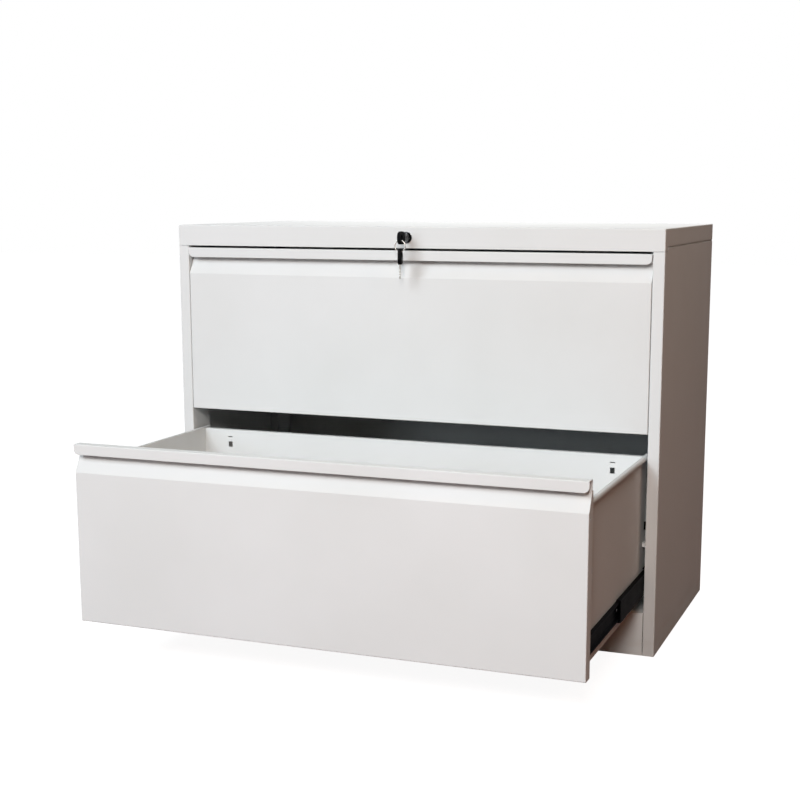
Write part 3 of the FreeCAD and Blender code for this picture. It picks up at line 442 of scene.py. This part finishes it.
@dataclass(frozen=True)
class ChromePlate:
    """Polished chrome, painted dark as a reflection of a dark room, with painted glints on the rims and
    faint handling marks.
    """

    name: str
    # Dark plate colours: a painted reflection of a dark room.
    colour: Colour = (0.2, 0.2, 0.21)
    haze_colour: Colour = (0.06, 0.06, 0.065)
    rim_glint_colour: Colour = (0.75, 0.75, 0.76)
    roughness: Span = (0.06, 0.2)
    haze_grain: float = 0.004
    mark_grain: float = 0.0009
    mark_depth: float = 0.000006
    mark_strength: float = 0.3
    rim_radius: float = 0.0005

    def material(self) -> Material:
        """Builds the finish.

        Returns:
            The finish as a material.
        """
        shading = Shading(self.name)
        rim, edge = shading.soft_edges(self.rim_radius)
        haze = shading.noise(self.haze_grain, detail=3.0)
        plate = shading.blend(haze, self.colour, self.haze_colour)
        # Painted glints: the rims get a bright plate colour.
        shading.paint(shading.blend(edge, plate, self.rim_glint_colour), shading.spread(haze, self.roughness))
        shading.set(Metallic=1.0)
        marks = shading.noise(self.mark_grain)
        shading.raise_surface(marks, self.mark_depth, self.mark_strength, rim)
        return shading.material


@dataclass(frozen=True)
class MouldedPlastic:
    """Moulded plastic with a fine sparked grain, rubbed smooth in patches."""

    name: str
    colour: Colour
    worn_colour: Colour
    roughness: Span = (0.55, 0.72)
    gloss: float = 0.12
    wear_grain: float = 0.006
    wear_span: Span = (0.45, 0.75)
    spark_grain: float = 0.0005
    spark_depth: float = 0.00002
    spark_strength: float = 0.5
    rim_radius: float = 0.0006

    def material(self) -> Material:
        """Builds the finish.

        Returns:
            The finish as a material.
        """
        shading = Shading(self.name)
        rim, edge = shading.soft_edges(self.rim_radius)
        worn = shading.spread(shading.noise(self.wear_grain, detail=3.0), over=self.wear_span)
        skin = shading.blend(worn, self.colour, self.worn_colour)
        shading.paint(shading.blend(edge, skin, self.worn_colour), shading.spread(worn, self.roughness))
        shading.set(Specular_IOR_Level=self.gloss)
        sparks = shading.noise(self.spark_grain)
        shading.raise_surface(sparks, self.spark_depth, self.spark_strength, rim)
        return shading.material


def make_finishes() -> dict[Slot, Material]:
    """Makes the material of every slot.

    Returns:
        The materials by slot.
    """
    finishes = {
        Slot.CARCASS_PAINT: PowderCoat("carcass powder coat"),
        Slot.DRAWER_PAINT: PowderCoat("drawer powder coat", cloud_grain=0.22),
        Slot.SLIDE_BLACK: BlackElectrocoat("slide electrocoat"),
        Slot.BRIGHT_STEEL: PlatedSteel(
            "bright nickel",
            colour=(0.72, 0.7, 0.66),
            dull_colour=(0.62, 0.6, 0.57),
            roughness=(0.12, 0.3),
            crystal_grain=0.003,
            line_stretch=(1.0, 1.0, 0.1),
        ),
        Slot.ZINC_STEEL: PlatedSteel(
            "zinc plate",
            colour=(0.6, 0.61, 0.62),
            dull_colour=(0.48, 0.49, 0.5),
            roughness=(0.28, 0.45),
            crystal_grain=0.005,
            line_stretch=(0.1, 1.0, 1.0),
        ),
        Slot.LOCK_CHROME: ChromePlate("lock chrome"),
        Slot.KEY_PLASTIC: MouldedPlastic(
            "key head plastic",
            colour=(0.002, 0.002, 0.0025),
            worn_colour=(0.007, 0.007, 0.008),
            gloss=0.05,
        ),
        Slot.WHITE_PLASTIC: MouldedPlastic(
            "guide plastic", colour=(0.8, 0.8, 0.78), worn_colour=(0.72, 0.72, 0.7)
        ),
    }
    return {slot: finish.material() for slot, finish in finishes.items()}


class Workbench:
    """Modelling by hand: every call works on one piece and leaves nothing else selected."""

    @staticmethod
    def clear() -> None:
        """Deselects everything."""
        if bpy.context.object and bpy.context.object.mode != "OBJECT":
            bpy.ops.object.mode_set(mode="OBJECT")
        bpy.ops.object.select_all(action="DESELECT")

    @staticmethod
    def take(piece: Object) -> None:
        """Selects one piece alone and makes it the active one.

        Args:
            piece: the piece that is worked on next.
        """
        Workbench.clear()
        piece.select_set(True)
        bpy.context.view_layer.objects.active = piece

    @staticmethod
    def settle(piece: Object) -> None:
        """Puts a piece's place, turn and scale into its mesh."""
        Workbench.take(piece)
        bpy.ops.object.transform_apply(location=True, rotation=True, scale=True)

    @staticmethod
    def bar(name: str, low: Place, high: Place) -> Object:
        """Adds a block between two corners, as a start for a piece.

        Args:
            name: the piece's name.
            low: the lowest corner.
            high: the highest corner.

        Returns:
            The block.
        """
        Workbench.clear()
        middle = (Vector(low) + Vector(high)) / 2
        bpy.ops.mesh.primitive_cube_add(size=1.0, location=middle)
        piece = bpy.context.object
        piece.name = name
        piece.scale = Vector(high) - Vector(low)
        Workbench.settle(piece)
        return piece

    @staticmethod
    def bore(radius: float, length: float, middle: Place, sides: int) -> Object:
        """Adds a round tool, lying along X, for cutting a hole.

        Args:
            radius: the hole's radius.
            length: the tool's length.
            middle: its middle.
            sides: how many flats it has.

        Returns:
            The tool.
        """
        Workbench.clear()
        bpy.ops.mesh.primitive_cylinder_add(
            vertices=sides,
            radius=radius,
            depth=length,
            location=middle,
            rotation=(0.0, math.pi / 2, 0.0),
        )
        tool = bpy.context.object
        Workbench.settle(tool)
        return tool

    @staticmethod
    def cut(piece: Object, tool: Object) -> None:
        """Cuts a tool's shape out of a piece and puts the tool away.

        Args:
            piece: the piece that is cut.
            tool: the shape that is taken out.
        """
        Workbench.take(piece)
        cutter = piece.modifiers.new("cut", "BOOLEAN")
        cutter.operation = "DIFFERENCE"
        cutter.solver = "EXACT"
        cutter.object = tool
        bpy.ops.object.modifier_apply(modifier=cutter.name)
        bpy.data.objects.remove(tool, do_unlink=True)

    @staticmethod
    def round_edges(
        piece: Object, chosen: Callable[[Vector, Vector], bool], width: float, steps: int
    ) -> None:
        """Bevels the edges that a test picks by their two ends.

        Args:
            piece: the piece to shape.
            chosen: says whether the edge between two places is rounded.
            width: the width of the rounding.
            steps: its segments.
        """
        Workbench.take(piece)
        bpy.ops.object.mode_set(mode="EDIT")
        bpy.ops.mesh.select_mode(type="EDGE")
        bpy.ops.mesh.select_all(action="DESELECT")
        bpy.ops.object.mode_set(mode="OBJECT")
        corners = piece.data.vertices
        for edge in piece.data.edges:
            start, end = (corners[index].co for index in edge.vertices)
            edge.select = chosen(start, end)
        bpy.ops.object.mode_set(mode="EDIT")
        bpy.ops.mesh.bevel(offset=width, segments=steps, affect="EDGES")
        bpy.ops.object.mode_set(mode="OBJECT")

    @staticmethod
    def soften(piece: Object, width: float, steps: int) -> None:
        """Rounds a piece's sharp rims and smooths its curved faces.

        Args:
            piece: the piece to finish.
            width: the width of the rounding.
            steps: its segments.
        """
        Workbench.take(piece)
        rim = piece.modifiers.new("rim", "BEVEL")
        rim.width = width
        rim.segments = steps
        rim.limit_method = "ANGLE"
        rim.angle_limit = RIM_ANGLE
        bpy.ops.object.modifier_apply(modifier=rim.name)
        bpy.ops.object.shade_smooth_by_angle(angle=SMOOTH_ANGLE)

    @staticmethod
    def finish(piece: Object, body: str, slot: Slot, material: Material) -> None:
        """Dresses a new piece and lets it ride on a body.

        Args:
            piece: the finished piece.
            body: the body that it moves with.
            slot: its slot in the record; not used.
            material: its finish.
        """
        piece.data.materials.clear()
        piece.data.materials.append(material)
        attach(piece, body)
        log.info("%s rides on %s", piece.name, body)


@dataclass
class SubAssembly:
    """Construction pieces that belong together; they keep their shapes and get the finish of their slot."""

    nodes: dict[str, Object]
    slots: dict[str, Slot]

    def names(self) -> list[str]:
        """The names of the construction pieces that belong here."""
        raise NotImplementedError

    def dress(self, materials: dict[Slot, Material]) -> None:
        """Gives each of its construction pieces its finish.

        Args:
            materials: the materials by slot.
        """
        for name in self.names():
            node = self.nodes[name]
            material = materials[self.slots[name]]
            if not node.material_slots:
                node.data.materials.append(material)
            for holder in node.material_slots:
                holder.material = material
            log.info("%s: %s wears %s", type(self).__name__, name, material.name)


@dataclass
class Carcass(SubAssembly):
    """The folded shell and the channels that carry the slides."""

    shell: Sequence[str] = ("top", "left_side", "right_side", "back", "bottom")
    corners: Sequence[str] = ("front_left", "front_right", "rear_left", "rear_right")

    def names(self) -> list[str]:
        """The panels, the plinth and the uprights."""
        panels = [f"{place}_panel" for place in self.shell]
        return [*panels, "plinth", *(f"{corner}_upright" for corner in self.corners)]


@dataclass
class DrawerUnit(SubAssembly):
    """One drawer: its folded front, the box behind it, and its lug and fasteners."""

    row: str = "upper"
    sheets: Sequence[str] = ("front", "inner_front", "left_side", "right_side", "back", "bottom")
    hardware: Sequence[str] = ("lock_lug", "fasteners")

    def names(self) -> list[str]:
        """The sheets and the hardware of this drawer."""
        return [f"{self.row}_drawer_{piece}" for piece in (*self.sheets, *self.hardware)]


@dataclass
class SlidePair(SubAssembly):
    """The two telescopic slides of one drawer, with their ball cages."""

    row: str = "upper"
    hands: Sequence[str] = ("left", "right")
    members: Sequence[str] = ("outer", "middle", "inner", "outer_cage", "inner_cage")

    def names(self) -> list[str]:
        """The members and cages of both slides."""
        return [f"{self.row}_{hand}_slide_{member}" for hand in self.hands for member in self.members]


@dataclass
class KeyBunch:
    """The ring on the key in the lock and the spare key that hangs from it, in metres and degrees."""

    eye: Vector
    eye_radius: float = 0.0055
    eye_inset: float = 0.008
    eye_sides: int = 32
    head_length: float = 0.026
    head_width: float = 0.022
    head_thickness: float = 0.006
    head_corner: float = 0.008
    corner_steps: int = 6
    head_round: float = 0.0009
    head_round_steps: int = 3
    blade_length: float = 0.024
    blade_width: float = 0.008
    blade_thickness: float = 0.002
    blade_round: float = 0.00025
    blade_round_steps: int = 2
    tang: float = 0.008
    tip_share: float = 0.8
    tip_steps: int = 1
    cut_count: int = 3
    cut_pitch: float = 0.0045
    cut_radius: float = 0.00135
    cut_growth: float = 0.00036
    cut_sides: int = 4
    wire: float = 0.0008
    wire_pitch: float = 0.00144
    weld_gap: float = 0.00004
    ring_radius: float = 0.0095
    rest_gap: float = 0.0001
    ring_steps: int = 56
    wire_sides: int = 10
    hang_turn: float = -13.0
    body: str = "cabinet"

    @property
    def sag(self) -> float:
        """How far the ring falls away across half a key head's thickness."""
        half = self.head_thickness / 2
        return self.ring_radius - math.sqrt(self.ring_radius**2 - half**2)

    @property
    def ring_middle(self) -> Vector:
        """The middle of the ring, hanging in the eye of the key in the lock."""
        wire_top = self.eye.z - self.eye_radius + self.wire + self.sag + self.rest_gap
        return Vector((self.eye.x, self.eye.y, wire_top - self.ring_radius))

    @property
    def spare_eye(self) -> Vector:
        """The middle of the spare key's eye, hanging on the bottom of the ring."""
        wire_bottom = self.ring_middle.z - self.ring_radius
        height = wire_bottom + self.wire + self.sag + self.rest_gap - self.eye_radius
        return Vector((self.eye.x, self.eye.y, height))

    def build_ring(self) -> Object:
        """A split ring: two turns of wire side by side.

        Returns:
            The ring, in its place.
        """
        Workbench.clear()
        middle = self.ring_middle
        bpy.ops.mesh.primitive_circle_add(
            vertices=self.wire_sides,
            radius=self.wire,
            location=(middle.x, middle.y - self.wire_pitch / 2, middle.z + self.ring_radius),
            rotation=(0.0, math.pi / 2, 0.0),
        )
        ring = bpy.context.object
        ring.name = "key_ring"
        Workbench.settle(ring)
        bpy.ops.object.mode_set(mode="EDIT")
        bpy.ops.mesh.select_all(action="SELECT")
        bpy.ops.mesh.spin(steps=self.ring_steps, angle=math.tau, center=middle, axis=(0.0, 1.0, 0.0))
        bpy.ops.mesh.select_all(action="SELECT")
        bpy.ops.mesh.remove_doubles(threshold=self.weld_gap)
        bpy.ops.mesh.duplicate()
        bpy.ops.transform.translate(value=(0.0, self.wire_pitch, 0.0))
        bpy.ops.mesh.select_all(action="SELECT")
        bpy.ops.mesh.normals_make_consistent(inside=False)
        bpy.ops.object.mode_set(mode="OBJECT")
        bpy.ops.object.shade_smooth()
        return ring

    def build_head(self) -> Object:
        """The spare key's moulded head, with its eye.

        Returns:
            The head, in its place.
        """
        eye = self.spare_eye
        half_thick = self.head_thickness / 2
        half_width = self.head_width / 2
        top = eye.z + self.eye_inset
        head = Workbench.bar(
            "spare_key_head",
            (eye.x - half_thick, eye.y - half_width, top - self.head_length),
            (eye.x + half_thick, eye.y + half_width, top),
        )
        Workbench.round_edges(
            head,
            lambda start, end: abs(start.x - end.x) > half_thick,
            self.head_corner,
            self.corner_steps,
        )
        Workbench.cut(head, Workbench.bore(self.eye_radius, self.head_width, eye, self.eye_sides))
        Workbench.soften(head, self.head_round, self.head_round_steps)
        self.swing(head)
        return head

    def build_blade(self) -> Object:
        """The spare key's blade, with its cuts and its pointed tip.

        Returns:
            The blade, in its place.
        """
        eye = self.spare_eye
        head_bottom = eye.z + self.eye_inset - self.head_length
        tip = head_bottom - self.blade_length
        half_thick = self.blade_thickness / 2
        half_width = self.blade_width / 2
        blade = Workbench.bar(
            "spare_key_blade",
            (eye.x - half_thick, eye.y - half_width, tip),
            (eye.x + half_thick, eye.y + half_width, head_bottom + self.tang),
        )
        Workbench.round_edges(
            blade,
            lambda start, end: abs(start.x - end.x) > half_thick and max(start.z, end.z) < tip + half_thick,
            half_width * self.tip_share,
            self.tip_steps,
        )
        for number in range(self.cut_count):
            notch_z = tip + half_width + self.cut_pitch * (number + 0.5)
            notch_radius = self.cut_radius + self.cut_growth * number
            notch_middle = (eye.x, eye.y - half_width, notch_z)
            notch = Workbench.bore(notch_radius, self.blade_width, notch_middle, self.cut_sides)
            Workbench.cut(blade, notch)
        Workbench.soften(blade, self.blade_round, self.blade_round_steps)
        self.swing(blade)
        return blade

    def swing(self, piece: Object) -> None:
        """Turns a piece of the spare key about its hanging line.

        Args:
            piece: the piece to turn.
        """
        Workbench.take(piece)
        bpy.ops.object.mode_set(mode="EDIT")
        bpy.ops.mesh.select_all(action="SELECT")
        bpy.ops.transform.rotate(
            value=math.radians(self.hang_turn), orient_axis="Z", center_override=self.spare_eye
        )
        bpy.ops.object.mode_set(mode="OBJECT")

    def build(self, materials: dict[Slot, Material]) -> None:
        """Builds the ring and the spare key and dresses them.

        Args:
            materials: the materials by slot.
        """
        Workbench.finish(self.build_ring(), self.body, Slot.BRIGHT_STEEL, materials[Slot.BRIGHT_STEEL])
        Workbench.finish(self.build_head(), self.body, Slot.KEY_PLASTIC, materials[Slot.KEY_PLASTIC])
        Workbench.finish(self.build_blade(), self.body, Slot.BRIGHT_STEEL, materials[Slot.BRIGHT_STEEL])


@dataclass
class LockSet(SubAssembly):
    """The lock with its key, the linkage that bars the drawers, and the loose keys."""

    lock: Sequence[str] = ("lock_body", "lock_nut", "lock_plug", "lock_cam", "cam_screw")
    key: Sequence[str] = ("key_head", "key_blade")
    linkage: Sequence[str] = (
        "lock_rod",
        "rod_guides",
        "bell_crank",
        "crank_stud",
        "lock_bar",
        "bar_guides",
    )

    def names(self) -> list[str]:
        """The lock, its key and the linkage."""
        return [*self.lock, *self.key, *self.linkage]

    def find_eye(self) -> Vector:
        """The middle of the ring hole in the head of the key that is in the lock.

        Returns:
            Its place in the row frame.
        """
        low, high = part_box("key_head")
        return Vector(((low.x + high.x) / 2, low.y + KeyBunch.eye_inset, (low.z + high.z) / 2))

    def build(self, materials: dict[Slot, Material]) -> None:
        """Hangs the ring and the spare key on the key in the lock.

        Args:
            materials: the materials by slot.
        """
        KeyBunch(self.find_eye()).build(materials)


@dataclass
class Cabinet:
    """The whole cabinet as its sub-assemblies."""

    nodes: dict[str, Object]
    slots: dict[str, Slot]
    rows: Sequence[str] = ("upper", "lower")

    def build(self, materials: dict[Slot, Material]) -> None:
        """Dresses every sub-assembly and adds the loose keys.

        Args:
            materials: the materials by slot.
        """
        lock = LockSet(self.nodes, self.slots)
        parts: list[SubAssembly] = [Carcass(self.nodes, self.slots)]
        for row in self.rows:
            parts.append(DrawerUnit(self.nodes, self.slots, row))
            parts.append(SlidePair(self.nodes, self.slots, row))
        parts.append(lock)
        for part in parts:
            part.dress(materials)
        dressed = {name for part in parts for name in part.names()}
        if dressed != set(self.nodes):
            raise RuntimeError(f"left bare: {sorted(set(self.nodes) - dressed)}")
        lock.build(materials)


@dataclass(frozen=True)
class SoftBox:
    """One soft studio lamp."""

    name: str
    place: Place
    aim: Place
    width: float
    height: float
    power: float
    colour: Colour = (1.0, 1.0, 1.0)

    def hang(self) -> None:
        """Hangs the lamp in the scene."""
        lamp = bpy.data.lights.new(self.name, "AREA")
        lamp.shape = "RECTANGLE"
        lamp.size = self.width
        lamp.size_y = self.height
        lamp.energy = self.power
        lamp.color = self.colour
        holder = bpy.data.objects.new(self.name, lamp)
        bpy.context.scene.collection.objects.link(holder)
        holder.visible_camera = False
        holder.location = self.place
        direction = Vector(self.aim) - Vector(self.place)
        holder.rotation_euler = direction.to_track_quat("-Z", "Y").to_euler()


@dataclass
class Studio:
    """The floor, the lamps, the white surround and the camera."""

    lamps: Sequence[SoftBox]
    floor_reach: float = 14.0
    floor_drop: float = 0.0005
    floor_colour: Colour = (0.2, 0.075, 0.05)
    floor_roughness: float = 0.9
    floor_glow: Span = (0.92, 1.0)
    floor_glow_reach: Span = (0.9, 2.2)
    floor_shadow: Colour = (0.4, 0.4, 0.4)
    floor_mirror: float = 0.2
    # Painted shade: the colour of the dark sheet laid under the cabinet.
    footprint_shade_colour: Colour = (0.12, 0.1, 0.09)
    footprint_inset: float = 0.004
    surround_colour: Colour = (0.96, 0.98, 1.0)
    surround_strength: float = 0.04
    surround_mirror: float = 1.0
    camera_place: Place = (0.9067, -2.3032, 0.7724)
    camera_yaw: float = 20.998
    camera_pitch: float = 9.888
    focal_pixels: float = 1419.0
    shift_pixels: tuple[float, float] = (-18.8, 43.2)

    def lay_floor(self) -> None:
        """Lays a plain pale floor that looks white and keeps the object's shadow."""
        Workbench.clear()
        bpy.ops.mesh.primitive_plane_add(size=self.floor_reach * 2, location=(0.0, 0.0, -self.floor_drop))
        floor = bpy.context.object
        floor.name = "studio_floor"
        shading = Shading("pale floor")
        shading.set(
            Base_Color=(*self.floor_colour, 1.0), Roughness=self.floor_roughness, Specular_IOR_Level=0.0
        )
        away = shading.add("ShaderNodeVectorMath", operation="LENGTH")
        shading.join(shading.place, away.inputs[0])
        strength = shading.spread(away.outputs["Value"], self.floor_glow, self.floor_glow_reach)
        glow = shading.add("ShaderNodeEmission")
        shading.join(strength, glow.inputs["Strength"])
        lit = shading.add("ShaderNodeBsdfDiffuse")
        lit.inputs["Color"].default_value = (*self.floor_shadow, 1.0)
        seen = shading.add("ShaderNodeAddShader")
        shading.join(glow.outputs["Emission"], seen.inputs[0])
        shading.join(lit.outputs["BSDF"], seen.inputs[1])
        choice = shading.add("ShaderNodeMixShader")
        shading.join(self.seen_rays(shading.tree, self.floor_mirror), choice.inputs["Fac"])
        shading.join(shading.shader.outputs["BSDF"], choice.inputs[1])
        shading.join(seen.outputs["Shader"], choice.inputs[2])
        shading.join(choice.outputs["Shader"], shading.output.inputs["Surface"])
        floor.data.materials.append(shading.material)
        self.shade_footprint()

    def shade_footprint(self) -> None:
        """Keeps the floor under the cabinet dark with a sheet of painted shade, where it shows through the
        open seams.
        """
        low, high = CAD_BOX
        Workbench.clear()
        bpy.ops.mesh.primitive_plane_add(size=1.0, location=(0.0, high.y / 2, -self.floor_drop / 2))
        shade = bpy.context.object
        shade.name = "shaded_floor"
        shade.scale = (high.x - low.x - self.footprint_inset, high.y - self.footprint_inset, 1.0)
        Workbench.settle(shade)
        shading = Shading("shaded floor")
        shading.set(
            Base_Color=(*self.footprint_shade_colour, 1.0),
            Roughness=self.floor_roughness,
            Specular_IOR_Level=0.0,
        )
        shade.data.materials.append(shading.material)

    @staticmethod
    def seen_rays(tree: bpy.types.NodeTree, mirror: float) -> NodeSocket:
        """Tells rays that show the surround from those that only carry its light.

        Args:
            tree: the node tree that asks.
            mirror: how much of the surround's white shows in reflections.

        Returns:
            A socket that is 1 for camera and transmission rays and the mirror share for glossy rays.
        """
        rays = tree.nodes.new("ShaderNodeLightPath")
        total = rays.outputs["Is Camera Ray"]
        for name, share in (("Is Transmission Ray", 1.0), ("Is Glossy Ray", mirror)):
            added = tree.nodes.new("ShaderNodeMath")
            added.operation = "MULTIPLY_ADD"
            added.use_clamp = True
            tree.links.new(rays.outputs[name], added.inputs[0])
            added.inputs[1].default_value = share
            tree.links.new(total, added.inputs[2])
            total = added.outputs["Value"]
        return total

    def paint_surround(self) -> None:
        """Makes the surround white to look at and dimmer as a light."""
        world = bpy.data.worlds.new("studio surround")
        bpy.context.scene.world = world
        world.use_nodes = True
        tree = world.node_tree
        tree.nodes.clear()
        soft = tree.nodes.new("ShaderNodeBackground")
        soft.inputs["Color"].default_value = (*self.surround_colour, 1.0)
        soft.inputs["Strength"].default_value = self.surround_strength
        white = tree.nodes.new("ShaderNodeBackground")
        white.inputs["Color"].default_value = (1.0, 1.0, 1.0, 1.0)
        choice = tree.nodes.new("ShaderNodeMixShader")
        output = tree.nodes.new("ShaderNodeOutputWorld")
        tree.links.new(self.seen_rays(tree, self.surround_mirror), choice.inputs["Fac"])
        tree.links.new(soft.outputs["Background"], choice.inputs[1])
        tree.links.new(white.outputs["Background"], choice.inputs[2])
        tree.links.new(choice.outputs["Shader"], output.inputs["Surface"])

    def place_camera(self) -> None:
        """Puts the camera where the photograph was taken from."""
        lens = bpy.data.cameras.new("photo camera")
        lens.sensor_width = SENSOR_WIDTH
        lens.lens = SENSOR_WIDTH * self.focal_pixels / IMAGE_SIDE
        lens.shift_x, lens.shift_y = (pixels / IMAGE_SIDE for pixels in self.shift_pixels)
        camera = bpy.data.objects.new("photo camera", lens)
        bpy.context.scene.collection.objects.link(camera)
        turn = (
            Matrix.Rotation(math.radians(self.camera_yaw), 4, "Z")
            @ Matrix.Rotation(math.radians(90.0 - self.camera_pitch), 4, "X")
        )
        camera.matrix_world = Matrix.Translation(self.camera_place) @ turn
        bpy.context.scene.camera = camera

    def set_up(self) -> None:
        """Sets up the whole studio."""
        self.lay_floor()
        self.paint_surround()
        for lamp in self.lamps:
            lamp.hang()
        self.place_camera()
        bpy.context.scene.view_settings.view_transform = "Standard"
        log.info("studio with %d lamps", len(self.lamps))


def make_lamps() -> list[SoftBox]:
    """The soft boxes round the cabinet: cool from the left, warm from the right, and one over the top.

    Returns:
        The lamps, not yet hung.
    """
    return [
        SoftBox(
            "left light",
            place=(-1.6, -3.6, 3.0),
            aim=(0.0, 0.0, 0.4),
            width=2.2,
            height=1.8,
            power=131.0,
            colour=(0.87, 0.945, 1.0),
        ),
        SoftBox(
            "low left light",
            place=(-2.4, -3.5, 1.1),
            aim=(0.2, 0.2, 0.35),
            width=0.9,
            height=0.6,
            power=22.0,
            colour=(0.8, 0.91, 1.0),
        ),
        SoftBox(
            "right light",
            place=(1.0, -3.4, 2.0),
            aim=(0.0, 0.0, 0.4),
            width=0.8,
            height=0.8,
            power=66.0,
            colour=(1.0, 0.95, 0.91),
        ),
        SoftBox(
            "warm side light",
            place=(1.7, -0.7, 1.9),
            aim=(0.45, 0.2, 0.5),
            width=0.6,
            height=0.6,
            power=3.4,
            colour=(1.0, 0.55, 0.2),
        ),
        SoftBox(
            "top light",
            place=(0.0, 0.75, 1.5),
            aim=(0.0, 0.2, 0.72),
            width=1.2,
            height=0.5,
            power=9.0,
        ),
    ]


def main() -> None:
    """Dresses the cabinet, adds the loose keys and sets up the studio."""
    logging.basicConfig(level=logging.INFO, format="%(name)s: %(message)s")
    materials = make_finishes()
    slots = {row["node"]: Slot(row["material_slot"]) for row in frame["record"]["subparts"]}
    Cabinet(frame["nodes"], slots).build(materials)
    Studio(make_lamps()).set_up()


if __name__ == "__main__":
    main()
